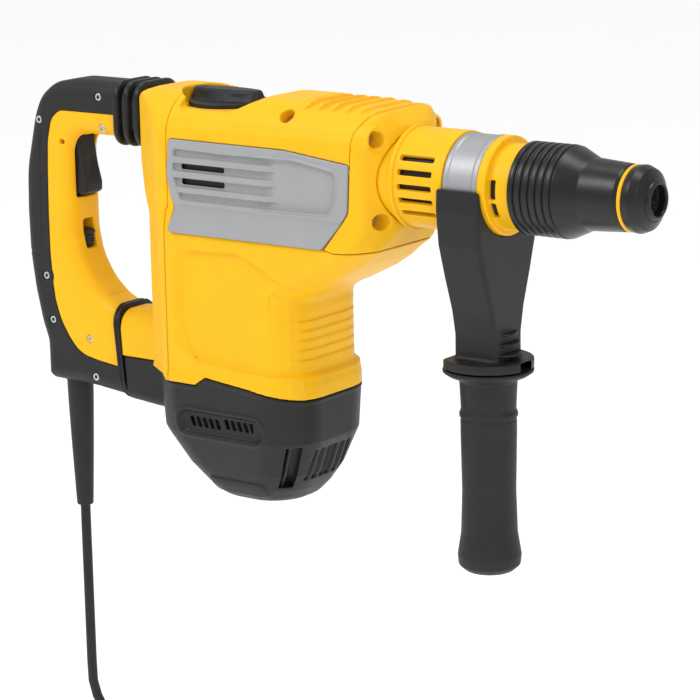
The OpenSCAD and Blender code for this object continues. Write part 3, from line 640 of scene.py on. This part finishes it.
def make_main_housing():
    g = Grid((124, -50, -102), (308, 50, 100), 0.85)
    outer, inner = housing_shape(g)
    shape = seam(outer, -g.side(NOSE_PART))
    shape = seam(shape, -g.side(REAR_SEAM))
    shape = seam(shape, cap_level(g, 0) - g.z)
    front = g.front(FRONT_PROFILE)
    panel = g.side(PANEL)
    shape = cut(0.3, shape, np.maximum(panel - 0.25, -(front + 2.3)))
    inner = np.maximum(inner, -np.maximum(panel - 3, -(front + 5.2)))
    inner = np.maximum(inner, -g.along_x(*NOSE_SCREWS[1], 9))
    g.d = np.maximum(shape, -inner)
    for z in SLOT_LEVELS:
        slot = rectangle(g.x, g.z, (139, z - 2.8), (178, z + 2.8), 1.2)
        g.d = cut(0, g.d, np.maximum(slot, 36 - g.y_abs()))
    g.d = cut(0.5, g.d, np.maximum(g.along_x(0, AXIS_Z, BARREL_HOLE), 290 - g.x))
    dress(solid("housing_shell", g, 0.45), "body", "housing_yellow", "main_housing")


def make_nose():
    g = Grid((258, -50, -6), (308, 50, 100), 0.7)
    outer, inner = housing_shape(g)
    pillars = np.minimum(g.along_x(*NOSE_SCREWS[0], 8.2), g.along_x(*NOSE_SCREWS[1], 8.5))
    inner = np.maximum(inner, -pillars)
    outer = join(2.5, outer, np.maximum(g.along_x(33.6, 76.8, 8.0), slab(g.x, 270, 292.5)))
    outer = cut(0.8, outer, np.maximum(g.along_x(*NOSE_SCREWS[0], 5.4), 282 - g.x))
    outer = cut(0.8, outer, np.maximum(g.along_x(*NOSE_SCREWS[1], 5.3), 285 - g.x))
    front = g.front(FRONT_PROFILE)
    shape = seam(outer, g.side(NOSE_PART))
    shape = cut(0.3, shape, np.maximum(g.side(PANEL) - 0.25, -(front + 2.3)))
    shape = np.maximum(shape, -inner)
    g.d = cut(1.0, shape, g.along_x(0, AXIS_Z, BARREL_HOLE))
    dress(solid("nose_shell", g, 0.5), "body", "housing_yellow", "nose_housing")


def make_rear_cover():
    g = Grid((56, -50, -100), (131, 50, 100), 0.8, mirrored=False)
    outer, inner = housing_shape(g)
    stub = g.side([(60.2, -62.2, 2), (112, -57.5), (112, -116), (40, -116), (40, -62)])
    stub = meet(14, stub, np.abs(g.y) - 20.5)
    stub = meet(0.8, stub, g.by_height([-110, -62], [63.6, 60.6]) - g.x)
    outer = join(3, outer, stub)
    bore = g.side([(40, -66), (114, -61.5), (114, -116), (40, -116)])
    inner = np.minimum(inner, meet(11, bore, np.abs(g.y) - 17))
    shape = seam(outer, g.side(REAR_SEAM))
    shape = seam(shape, cap_level(g, 0) - g.z)
    shape = np.maximum(shape, -inner)
    shape = cut(0.5, shape, np.maximum(g.along_x(0, 76, 17), g.x - 110))
    shape = cut(0.6, shape, g.box((96, -21.5, -58), (106, -8.5, -34), 0.6))
    arc = np.abs(np.hypot(g.x - 126, g.z + 73) - 9.5) - 0.45
    arc = np.maximum(np.maximum(arc, -0.7 - outer), np.maximum(g.x - 121, np.abs(g.z + 73) - 6))
    g.d = np.maximum(shape, -arc)
    dress(solid("rear_shell", g, 0.45), "body", "housing_yellow", "rear_cover")


def make_panel(name, node, near):
    g = Grid((126, 30, -2), (282, 50, 72), 0.55, mirrored=False)
    front = g.front(FRONT_PROFILE)
    plate = g.side(PANEL)
    field = g.side([(135.5, 60.4, 2), (175, 59.4), (236, 60.4, 20), (268.8, 55.4, 4), (269, 38, 12),
                    (262.5, 28.4, 4), (200, 27), (140, 27.2, 3), (134.4, 44)])
    bars = np.minimum.reduce([slab(g.z, *ends) for ends in ((51.2, 56), (41.5, 46.4), (31.4, 36.1))])
    fade = smooth(223, 210, g.x)
    sunk = smooth(0.5, -0.5, field) * (1 - 1.3 * fade * smooth(0.4, -0.4, bars))
    fold = g.by_height([4, 20.6, 21.8, 24], [-2.0, 1.3, 1.3, 0])
    edge = 0.9 * smooth(1.2, 0.4, np.abs(field - 0.7)) * smooth(196, 210, g.x)
    shape = meet(0.9, plate, front - 0.9 + 2.4 * sunk + fold - edge)
    shape = meet(0.4, shape, -(front + 2.1))
    for z in SLOT_LEVELS:
        shape = cut(0.4, shape, rectangle(g.x, g.z, (140.5, z - 1.4), (176.5, z + 2.1), 1.2))
    g.d = shape
    dress(solid(name, g, 0.4, flip_y=near), "body", "panel_grey", node)


def make_shade_screen(name, slot_name, grid, low, high, outside):
    """A dark sheet behind air slots, painted shade standing in for the dark inside, with its corners in X and
    Z and its outer side's distance.
    """
    g = Grid(*grid, 0.8)
    g.d = meet(0.3, rectangle(g.x, g.z, low, high, 2), slab(g.y_abs(), 38.9, outside))
    dress(solid(name, g), "body", slot_name)


# ---------- motor cap ----------

def make_cap():
    g = Grid((58, -52, -182), (238, 52, -88), 0.8)
    levels = [-180, -168, -156, -132, -96, -88]
    low = g.by_height(levels, [147, 134, 122, 106, 103, 103])
    high = g.by_height(levels, [206, 216, 223.5, 232.4, 234.4, 234.4])
    half = g.by_height(levels, [27, 35, 40, 46.6, 48, 48])
    r = g.by_height(levels, [25, 28, 30, 31, 31, 31])
    body = rectangle(g.x, g.y, (low, -half), (high, half), r)
    body = meet(6, body, rear_chamfer(g) - 0.4)
    skin = body
    rim = smooth(3.5, 2.0, cap_level(g, 0) - g.z)
    body = body - 0.5 * rim
    oval = rectangle(g.x, g.z, (134, -132.2), (206, -116), 8)
    near_side = smooth(30, 36, g.y_abs())
    body = body + (2.6 * smooth(1.4, -2.6, oval) - 0.6 * smooth(2.6, 1.0, np.abs(oval - 1.2))) * near_side
    foot = rectangle(g.x, g.z, (151, -174), (198, -163), 3)
    body = body - 1.2 * smooth(0.8, -0.8, foot) * smooth(22, 27, g.y_abs())
    mid_x = g.by_height([-168, -156, -134], [205, 213, 223.4])
    mid_y = g.by_height([-168, -156, -134], [24, 28.4, 34.6])
    channel = np.maximum(np.hypot(g.x - mid_x, g.y_abs() - mid_y) - 5.4, slab(g.z, -165, -134))
    body = cut(0.6, body, channel)
    pillar = np.maximum(np.hypot(g.x - mid_x + 2.6, g.y_abs() - mid_y - 0.6) - 1.7, slab(g.z, -165, -134))
    body = np.minimum(body, np.maximum(pillar, skin + 0.6))
    louvres = smooth(208, 210, g.x) * smooth(-160.4, -159.4, g.z) * smooth(-137.6, -138.6, g.z)
    louvres = louvres * smooth(20, 19, g.y_abs())
    bar = (g.y_abs() / 7.8 + 0.25) % 1
    body = body + louvres * (0.7 + 2.2 * smooth(0.30, 0.42, bar) * smooth(0.98, 0.86, bar))
    top = g.z - cap_level(g, -0.45)
    shape = meet(1.2, meet(4, body, -178.0 - g.z), top)
    arm = g.side([(40, -60), (112, -60), (112, -128, 8), (90, -127, 10), (62, -124.6)])
    arm = meet(7, arm, g.y_abs() - 20.5)
    arm = meet(1.0, arm, g.by_height([-125, -94], [66.2, 63.8]) - g.x)
    shape = join(4, shape, meet(1.2, arm, top))
    inner = np.maximum(np.maximum(skin + 5.2, 2.4 - channel), -174.0 - g.z)
    hollow = g.side([(40, -84), (110, -84), (110, -124), (61, -121.5)])
    shape = np.maximum(shape, -np.minimum(inner, np.maximum(hollow, g.y_abs() - 17)))
    for low_x, high_x, mid in ((142, 169, -124), (171.5, 196.5, -122.8)):
        window = rectangle(g.x, g.z, (low_x, mid - 3.3), (high_x, mid + 3.3), 1.6)
        lean = g.x + 0.3 * (g.z - mid)
        bars = np.abs(((lean - low_x) / 5.4) % 1 - 0.5) * 5.4 - 1.5
        shape = cut(0.4, shape, np.maximum(np.maximum(window, bars), 36 - g.y_abs()))
    g.d = shape
    dress(solid("cap_shell", g, 0.45), "body", "housing_black", "motor_cap")


# ---------- barrel and tool holder ----------

def make_barrel():
    g = Grid((276, -34, 16), (346, 34, 84), 0.6)
    rho = g.radius()
    ring = meet(0.5, rho - 34.2, slab(g.x, 302, 305.4))
    body = join(0.8, meet(0.8, rho - 32.4, slab(g.x, 277, 341.7)), ring)
    for angle in (-36, -19, -3, 14, 31):
        body = cut(0.4, body, rectangle(g.x, g.arc(angle, 32), (308, -1.9), (334, 1.9), 1.0))
    g.d = cut(0.6, body, rho - 28.2)
    dress(solid("barrel_shell", g, 0.5), "body", "housing_yellow", "barrel")


def make_collar():
    g = Grid((340, -34, 16), (395, 34, 84), 0.5)
    rho = g.radius()
    body = g.turned([(342, 22.5), (342, 29.8, 0.5), (367.8, 29.8), (367.8, 31.6, 0.7), (374, 31.6, 0.9),
                     (374, 27, 1.0), (392, 27, 0.6), (392, 22.5)])
    for angle, half in ((3, 6.4), (-27, 5.4)):
        slot = rectangle(g.x, g.arc(angle, 27), (374.3, -half), (378.8, half), 1.0)
        body = cut(0.3, body, np.maximum(slot, 24.6 - rho))
    g.d = np.maximum(body, -np.maximum(rho - 27.05, g.x - 363))
    dress(solid("collar_shell", g, 0.5), "body", "housing_yellow", "barrel_collar")


def on_axis(points, name):
    return lathe(name, points, 144, Matrix.Translation((0, 0, AXIS_Z)))


def make_shade_liners():
    """Dark sleeves under the barrel's and the collar's slots: painted shade that makes the slots read dark.
    """
    for name, start, end, low, high in (("barrel_shade_liner", 299, 341, 27.3, 28.15),
                                        ("collar_shade_liner", 366, 386, 23.2, 25.0)):
        line = [(start, low), (start, high, 0.2), (end, high, 0.2), (end, low)]
        dress(on_axis(line, name), "body", "housing_black")


def make_holder():
    x = 388.4
    boot = [(x, 27.7), (x, 28.4, 0.5)]
    for i in range(6):
        at = x + 0.6 + i * 5.3
        boot += [(at, 29.4, 0.9), (at + 3.1, 29.4, 1.1), (at + 3.9, 27.9, 0.5), (at + 4.7, 27.9, 0.5)]
    boot += [(x + 32, 29.2, 3), (x + 46, 22.7, 6), (459.4, 21.1, 2), (461.4, 20.3, 0.6), (461.4, 17.3)]
    boot += [(x + 44.5, 17.3), (x + 44, 20.6), (x + 22, 20.6), (x + 21, 27.7)]
    dress(on_axis(boot, "sleeve_boot"), "sleeve", "soft_black", "locking_sleeve", finish="boot_black")
    ring = [(461.75, 17.3), (461.75, 20.3, 0.4), (462.6, 20.9, 0.4), (463.7, 20.9, 0.4), (464.3, 20.3, 0.4),
            (464.3, 17.3)]
    dress(on_axis(ring, "seal_ring"), "sleeve", "seal_yellow", "nose_seal_ring")
    cap = [(464.9, 17.1), (464.9, 20.8, 0.8), (469.6, 21.2, 1.5), (474.4, 19.2, 1.2), (477.6, 13.6, 0.8),
           (477.2, 12.6, 0.5), (479.2, 12.0, 0.5), (480, 11.0, 0.7), (480, 9.9, 0.4), (478.6, 9.4, 0.4),
           (474.2, 9.4), (474.2, 17.1)]
    dress(on_axis(cap, "nose_boot"), "spindle", "soft_black", "nose_cap", finish="boot_black")


def make_spring():
    """The locking sleeve's spring, drawn at one fixed length; the real one shortens as the sleeve is pulled
    back.
    """
    coil, wire, start, end, turns, steps, sides = 18.9, 0.9, 394.9, 427.1, 7, 360, 12
    share = np.clip(np.arange(-1, steps + 2) / steps, 0, 1)
    size = np.where((np.arange(-1, steps + 2) < 0) | (np.arange(-1, steps + 2) > steps), 0, wire)
    turn = share * turns * 2 * np.pi
    phi = np.arange(sides) * 2 * np.pi / sides
    far = coil + size[:, None] * np.cos(phi)
    x = (start + (end - start) * share)[:, None] + size[:, None] * np.sin(phi)
    pts = np.stack([x, far * np.cos(turn)[:, None], AXIS_Z + far * np.sin(turn)[:, None]], 2).reshape(-1, 3)
    faces = strips(len(turn), sides, False)[:, ::-1]
    obj = link("release_spring", mesh_from("release_spring", pts, faces))
    weld(obj)
    obj.data.shade_smooth()
    dress(obj, None, "steel", "sleeve_spring")
    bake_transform(obj)


# ---------- side handle ----------

def make_band():
    g = Grid((340, -33, 10), (370, 33, 84), 0.45)
    rho = g.radius()
    bead = 0.7 * smooth(2.6, 1.4, np.abs(np.abs(g.x - BAND_X) - 11.0))
    ring = meet(0.6, rho - 31 - bead * 0.7, slab(g.x, 342.2, 367.8))
    tail = g.box((342.2, -6, 12), (367.8, 6, 24), 0.6)
    shape = join(1.0, ring, tail)
    shape = cut(0.3, shape, rho - 30.1)
    g.d = cut(0.3, shape, np.maximum(g.along_z(BAND_X, 4), g.z - 30))
    dress(solid("band_strap", g, 0.5), "side_handle", "band_steel", "clamp_band")


def make_fork():
    g = Grid((336, -38, -72), (382, 38, 53), 0.65)
    sides = g.front([(-60, 50.2), (35, 50.2, 0.5), (35.6, 36, 10), (33.2, 14, 20), (26.5, -8, 30),
                     (19, -30, 30), (15.6, -46, 20), (15.6, -72), (-60, -72)])
    wide = g.plan([(339, -60), (339, 60), (371, 60), (371, -60)])
    body = meet(3.0, sides, wide)
    base = meet(1.0, g.along_z(BAND_X, 29.4), slab(g.z, -68, -62))
    body = join(3.0, np.maximum(body, -68 - g.z), base)
    for z, reach in ((-59, 14.5), (-52.4, 12.5), (-46, 10)):
        fin = meet(0.7, np.hypot(g.x - 369.5, g.y / 1.35) - reach * 0.62, slab(g.z, z, z + 2.0))
        body = join(0.6, body, np.maximum(fin, 360 - g.x))
    rho = g.radius()
    body = cut(0.8, body, rho - 31.8)
    body = cut(0.5, body, np.maximum(rho - 32.8, g.x - 342.1))
    body = cut(0.3, body, g.box((342, -6.3, 11.4), (368, 6.3, 26), 0.4))
    g.d = cut(0.3, body, np.maximum(g.along_z(BAND_X, 4.1), g.z - 13))
    dress(solid("fork_shell", g, 0.5), "side_handle", "housing_black", "clamp_fork")


def make_stick():
    """The stick grip, turned about its own bolt: flange, neck and a barrelled grip."""
    line = [(69, 4.1), (69, 29.4, 0.9), (71, 29.4, 0.9), (73.4, 26, 3), (76, 18.8, 4), (96, 17.8, 6),
            (98.4, 18.9, 0.5), (100.6, 18.9, 0.5), (101.2, 17.9, 0.4), (102.4, 17.9, 0.4),
            (103.2, 18.2, 0.6), (112, 18.2, 12), (150, 17.5, 60), (178, 18.4, 30), (193, 20.8, 8),
            (199.5, 20.2, 3), (203.6, 15.6, 5), (205, 0)]
    grip = lathe("stick_grip", line + [(94, 0), (94, 4.1)], 128, downward(BAND_X), arcs=8)
    dress(grip, "side_grip", "soft_black", "side_grip")


# ---------- rear handle ----------

HANDLE = [(80, 58), (80, 96), (20, 96, 40), (1, 92.5, 24), (-11, 83.5, 24), (-17.5, 71, 60), (-27.5, 30, 90),
          (-28.6, 0, 90), (-28, -30, 90), (-24.5, -56, 90), (-19, -80, 60), (-14.2, -93, 20),
          (-14.2, -117.8, 5), (-9.5, -121, 4), (20, -121.2, 60), (32, -122, 60), (80, -127), (80, -68),
          (53.5, -60, 12), (43, -55.4, 30), (31, -45, 40), (21.4, -30, 40), (17.6, -12, 40), (17.6, 46, 12),
          (20.5, 54, 14), (28, 58, 12)]
INNER = [(80, 58), (80, 74.5), (10, 74.2, 9), (2, 68, 12), (-2, 52, 40), (-3.2, 30, 80), (-4, 0, 80),
         (-4, -28, 80), (-2.4, -50, 40), (-0.8, -62, 30), (4, -76, 40), (11, -87, 40), (18, -95, 20),
         (26, -99, 20), (37, -101, 40), (80, -106), (80, -68), (53.5, -60), (43, -55.4), (36, -30), (30, 0),
         (30, 50)]
TRIGGER = [(6, 56, 2), (18, 57, 1.5), (20, 46, 30), (22.3, 34, 40), (25, 22, 8), (24.6, 15.4, 3),
           (20, 13.4, 3), (12, 14.5, 2), (5, 20, 2), (4, 50, 2)]
HANDLE_HOLES = [(48.5, 64), (30, -86.5), (46, 85.5), (-10, 66), (-9, -45), (-4.5, -76.5), (34, -113.5)]


def handle_shape(g):
    """The whole D-handle without its cavity, and the distance to the yellow part's outline."""
    outer = meet(11, g.side(HANDLE), np.abs(g.y) - 18)
    end = g.by_height([-128, -60, -50, 50], [60.3, 53.5, 62, 62])
    outer = meet(1.0, outer, g.x - end)
    split = g.side(INNER)
    split = np.maximum(split, 7.2 - np.hypot(g.x + 9, g.z + 45))
    for x, z in HANDLE_HOLES:
        outer = cut(0.4, outer, np.maximum(g.along_y(x, z, 3.0), 16.5 - np.abs(g.y)))
    return outer, split


def handle_space(g):
    """The handle's cavity for the trigger, the switch and the lock slider."""
    room = g.side([(-6, 12, 2), (24, 12, 2), (24, 50), (26, 59.4, 2), (4, 59.4, 2), (-6, 54)])
    space = meet(2, room, np.abs(g.y) - 10.2)
    room = g.side([(-18, 8), (-3, 8), (-3, 56), (-12, 60), (-18, 40)])
    space = np.minimum(space, np.maximum(room, np.abs(g.y) - 9))
    space = np.minimum(space, g.box((-6, -4, -92), (4, 4, 12), 1))
    return np.minimum(space, g.box((4, -5.2, -25), (30, 5.2, -4), 2))


def make_handle_frame():
    g = Grid((-8, -20, -106), (92, 20, 90), 0.75)
    outer, split = handle_shape(g)
    shape = seam(outer, split, 0.15, 0.5)
    tongue = g.side([(50, -80), (73, -82, 3), (80, -88, 4), (80, -96, 4), (73, -102, 3), (50, -102)])
    tongue = meet(1, tongue, np.abs(g.y) - 11)
    guide = meet(1, g.along_x(0, 76, 10), slab(g.x, 58, 92))
    shape = np.minimum(shape, np.minimum(tongue, guide))
    shape = cut(0.8, shape, handle_space(g))
    shape = cut(0.3, shape, np.minimum(g.along_y(70, -89.5, 4.05), g.along_y(11, 52, 2)))
    g.d = cut(0.3, shape, np.maximum(g.along_x(0, 76, 7), 70 - g.x))
    dress(solid("handle_core", g, 0.45), "handle", "housing_yellow", "handle_frame")


def make_overmould():
    g = Grid((-31, -20, -128), (66, 20, 100), 0.75)
    outer, split = handle_shape(g)
    line = smooth(0.7, 0.25, np.abs(split - 6.6)) * smooth(-26, -22, g.z) * smooth(62, 58, g.z) * (g.x < 6)
    notch = smooth(0.6, 0.2, np.abs(g.z + 29)) * (g.x < -12)
    ring = smooth(0.5, 0.2, np.abs(np.hypot(g.x + 9, g.z + 45) - 5.6)) * (g.x > -26)
    outer = outer + 0.7 * line + 0.6 * notch + 0.4 * ring
    shape = seam(outer, -split, 0.15, 0.5)
    shape = cut(0.8, shape, handle_space(g))
    shape = cut(0.3, shape, np.maximum(g.along_x(0, 76, 10.2), 58 - g.x))
    g.d = cut(0.4, shape, np.maximum(g.along_z(CORD_X, 10.5), g.z + 115))
    dress(solid("handle_grip", g, 0.45), "handle", "soft_black", "handle_overmould")


def make_bellows():
    g = Grid((60, -25, 50), (90, 25, 101), 0.6)
    ribs = sum(np.exp(-((g.axes[0] - c) / w) ** 4) for c, w in ((65.3, 2.9), (74.2, 3.1), (83.8, 3.3)))
    half = (18.4 + 4.2 * ribs)[:, None, None]
    body = rectangle(g.y, g.z, (-half, 75.5 - half), (half, 75.5 + half), 12)
    body = meet(0.8, body, slab(g.x, 62.3, 86.8))
    g.d = cut(0.4, body, g.along_x(0, 75.5, 16.2))
    obj = dress(solid("bellows", g, 0.5), None, "soft_black", "upper_bellows", finish="boot_black")
    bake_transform(obj)


def make_seal():
    g = Grid((50, -23, -130), (70, 23, -55), 0.55)
    loop = g.side([(54, -59), (59.6, -59), (65.6, -127), (60.4, -127)])
    ring = rectangle(g.y, g.z, (-21.5, -127), (21.5, -58), 16)
    mid = g.x - g.by_height([-127, -59], [63, 56.8])
    ring = ring + 1.4 * smooth(1.5, 0.4, np.abs(mid))
    body = meet(1.3, loop, ring)
    g.d = cut(0.5, body, rectangle(g.y, g.z, (-17.6, -121), (17.6, -64), 12))
    obj = dress(solid("arm_seal", g, 0.5), None, "soft_black", "lower_seal", finish="boot_black")
    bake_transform(obj)


def make_trigger():
    g = Grid((2, -11, 11), (28, 11, 60), 0.45)
    waist = 0.8 * np.exp(-((g.z - 36) / 13) ** 2)
    body = meet(2.6, g.side(TRIGGER), np.abs(g.y) - 9.5 + waist)
    dish = 0.7 * smooth(9, 2, np.abs(g.z - 34)) * smooth(7.5, 0, np.abs(g.y)) * (g.x > 16)
    g.d = cut(0.3, body + dish, g.along_y(11, 52, 2.05))
    dress(solid("trigger_key", g, 0.5), "trigger", "soft_black", "trigger")


def make_slider():
    g = Grid((4, -6, -26), (23, 6, -9), 0.35)
    body = g.box((6, -4.6, -24), (18.2, 4.6, -11.5), 1.2)
    pad = g.box((16, -4, -23.4), (19.4, 4, -12), 1.4) + 0.6 * smooth(0.2, 0.9, np.sin(g.z * 2 * np.pi / 2.3))
    nub = g.box((16, -4, -15), (20.5, 4, -12.2), 1.0)
    g.d = join(0.5, np.minimum(body, pad), nub)
    dress(solid("lock_key", g, 0.6), "lock_slider", "housing_black", "lock_slider")


# ---------- mode knob, dial and screws ----------

def make_knob():
    g = Grid((118, -29, 68), (177, 29, 97), 0.5, mirrored=False)
    x = g.x - KNOB_X
    rho = np.hypot(x, g.y)
    disc = meet(0.8, rho - 26.8, slab(g.z, 85.5, 88.9))
    lens = np.maximum(np.hypot(x, g.y - 71.3) - 82.3, np.hypot(x, g.y + 71.3) - 82.3)
    bar = meet(1.4, meet(3, lens + 0.45 * (g.z - 90), rho - 29.2 + 0.25 * (g.z - 90)), slab(g.z, 88.2, 96.6))
    scoop = 0.5 * smooth(9, 2, np.abs(np.abs(x) - 15)) * smooth(95, 92, g.z) * smooth(88.6, 90, g.z)
    mark = g.plan([(124.6, 0), (129.4, -2.7), (129.4, 2.7)])
    body = join(1.0, disc, bar + scoop)
    body = cut(0.2, body, np.maximum(mark, 95.9 - g.z))
    teeth = 0.35 * smooth(0.2, 0.8, np.sin(np.arctan2(g.y, x) * 48)) * (g.z < 88.4) * (rho > 25)
    shaft = meet(0.5, rho - 9, slab(g.z, 70, 87))
    g.d = np.minimum(body + teeth, shaft)
    dress(solid("mode_dial", g, 0.5), "mode_knob", "housing_black", "mode_knob")


def make_speed_dial():
    g = Grid((94, -22, -59), (120, -8, -33), 0.4, mirrored=False)
    dx, dz = g.x - 107, g.z + 46
    teeth = 0.45 * np.abs(np.sin(np.arctan2(dz, dx) * 18))
    body = meet(0.9, np.hypot(dx, dz) - 11 + teeth, slab(g.y, -20, -10))
    g.d = cut(0.4, body, np.hypot(dx, dz) - 2)
    dress(solid("dial_wheel", g, 0.5), "speed_dial", "soft_black", "speed_dial")


def screw_heads(name, body, node, r, places):
    """Star-socket screw heads, their tops at the given points, facing the given ways."""
    g = Grid((-3, -r - 0.5, -r - 0.5), (0.5, r + 0.5, r + 0.5), 0.22 * r / 3, mirrored=False)
    rho, turn = np.hypot(g.y, g.z), np.arctan2(g.z, g.y)
    star = rho - (0.47 + 0.08 * np.cos(6 * turn)) * r
    g.d = cut(0.15, meet(0.5, rho - r, slab(g.x, -2.2, 0)), np.maximum(star, -1.5 - g.x))
    one = solid(name, g, 0.5)
    made = bmesh.new()
    for place, way in places:
        before = len(made.verts)
        made.from_mesh(one.data)
        made.verts.ensure_lookup_table()
        turned = Vector(way).to_track_quat("X", "Z").to_matrix().to_4x4()
        spot = Matrix.Translation(Vector(place) * MM) @ turned
        bmesh.ops.transform(made, matrix=spot, verts=made.verts[before:])
    made.to_mesh(one.data)
    made.free()
    one.data.shade_smooth()
    one.data.set_sharp_from_angle(angle=math.radians(35))
    dress(one, body, "steel", node)


def make_screws():
    x, y, z = TOP_SCREW
    sunk = 7.6 * SLANT
    places = [((x, s * (y - sunk), z - sunk), (0, s * SLANT, SLANT)) for s in (-1, 1)]
    places += [((287, s * y, z), (1, 0, 0)) for s in (-1, 1) for y, z in NOSE_SCREWS]
    screw_heads("shell_screws", "body", "housing_screws", 4.6, places)
    places = [((x, s * 17.1, z), (0, s, 0)) for x, z in HANDLE_HOLES for s in (-1, 1)]
    screw_heads("grip_screws", "handle", "handle_screws", 2.8, places)


make_main_housing()
make_nose()
make_rear_cover()
make_panel("louvre_panel_right", "side_panel_right", True)
make_panel("louvre_panel_left", "side_panel_left", False)
# The vent and cap screens are painted shade: dark sheets that make the air slots read dark.
make_shade_screen("vent_shade_screens", "housing_black", ((132, -44, 28), (186, 44, 60)), (134, 30), (184, 58), 40.2)
make_cap()
make_shade_screen("cap_shade_screens", "soft_black", ((136, -48, -138), (202, 48, -110)), (139, -132), (199, -115), 40)
make_barrel()
make_collar()
make_shade_liners()
make_holder()
make_spring()
make_band()
make_fork()
make_stick()
make_handle_frame()
make_overmould()
make_bellows()
make_seal()
make_trigger()
make_slider()
make_knob()
make_speed_dial()
make_screws()

# ---------- finishes of the CAD parts that stay ----------

KEPT = {
    "steel": ["trigger_pin", "handle_pivot_pin", "damper_spring", "stator_core", "armature_shaft",
              "armature_core", "motor_bearings", "crank_gear", "crankshaft", "gear_bearings", "wrist_pin",
              "ram", "beat_piece", "spindle", "ring_gear", "intermediate_shaft", "intermediate_gear",
              "spindle_bearings", "locking_rollers", "clamp_bolt"],
    "alloy": ["crankcase", "connecting_rod", "piston"],
    "copper": ["field_windings", "commutator"],
    "brass": ["brush_holders"],
    "carbon": ["carbon_brushes"],
    "board": ["control_board"],
    "housing_black": ["switch_module", "cooling_fan"],
}
for finish, names in KEPT.items():
    for name in names:
        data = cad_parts[name].data
        data.materials.clear()
        data.materials.append(FINISH[finish])


# ---------- studio ----------

def make_floor():
    mesh = bpy.data.meshes.new("floor")
    corners = [(x * FLOOR_HALF, y * FLOOR_HALF, FLOOR_Z) for x, y in ((-1, -1), (1, -1), (1, 1), (-1, 1))]
    mesh.from_pydata(corners, [], [(0, 1, 2, 3)])
    pale = material("floor_pale", (0.80, 0.80, 0.80), 0.9, tone=0.004, tone_size=2, grain=0.0, grain_size=30)
    shader = pale.node_tree.nodes["Principled BSDF"]
    shader.inputs["Emission Color"].default_value = (1, 1, 1, 1)
    shader.inputs["Emission Strength"].default_value = 0.45
    mesh.materials.append(pale)
    link("floor", mesh)


def light(name, place, target, size, power):
    data = bpy.data.lights.new(name, "AREA")
    data.shape, data.size, data.size_y, data.energy = "RECTANGLE", *size, power
    obj = bpy.data.objects.new(name, data)
    bpy.context.scene.collection.objects.link(obj)
    obj.location = place
    obj.rotation_euler = (Vector(target) - Vector(place)).to_track_quat("-Z", "Y").to_euler()


make_floor()
world = bpy.data.worlds.new("studio")
world.use_nodes = True
world.node_tree.nodes["Background"].inputs["Color"].default_value = (1, 1, 1, 1)
world.node_tree.nodes["Background"].inputs["Strength"].default_value = 0.62
bpy.context.scene.world = world
MIDDLE = (0.2, 0, -0.05)
light("key", (-0.7, -1.7, 1.9), MIDDLE, (1.0, 1.0), 26)
light("front", (2.0, -0.9, 1.0), MIDDLE, (0.5, 1.2), 9)
light("top", (0.3, 0.2, 2.2), MIDDLE, (1.4, 0.7), 16)
bpy.context.scene.view_settings.view_transform = "Standard"
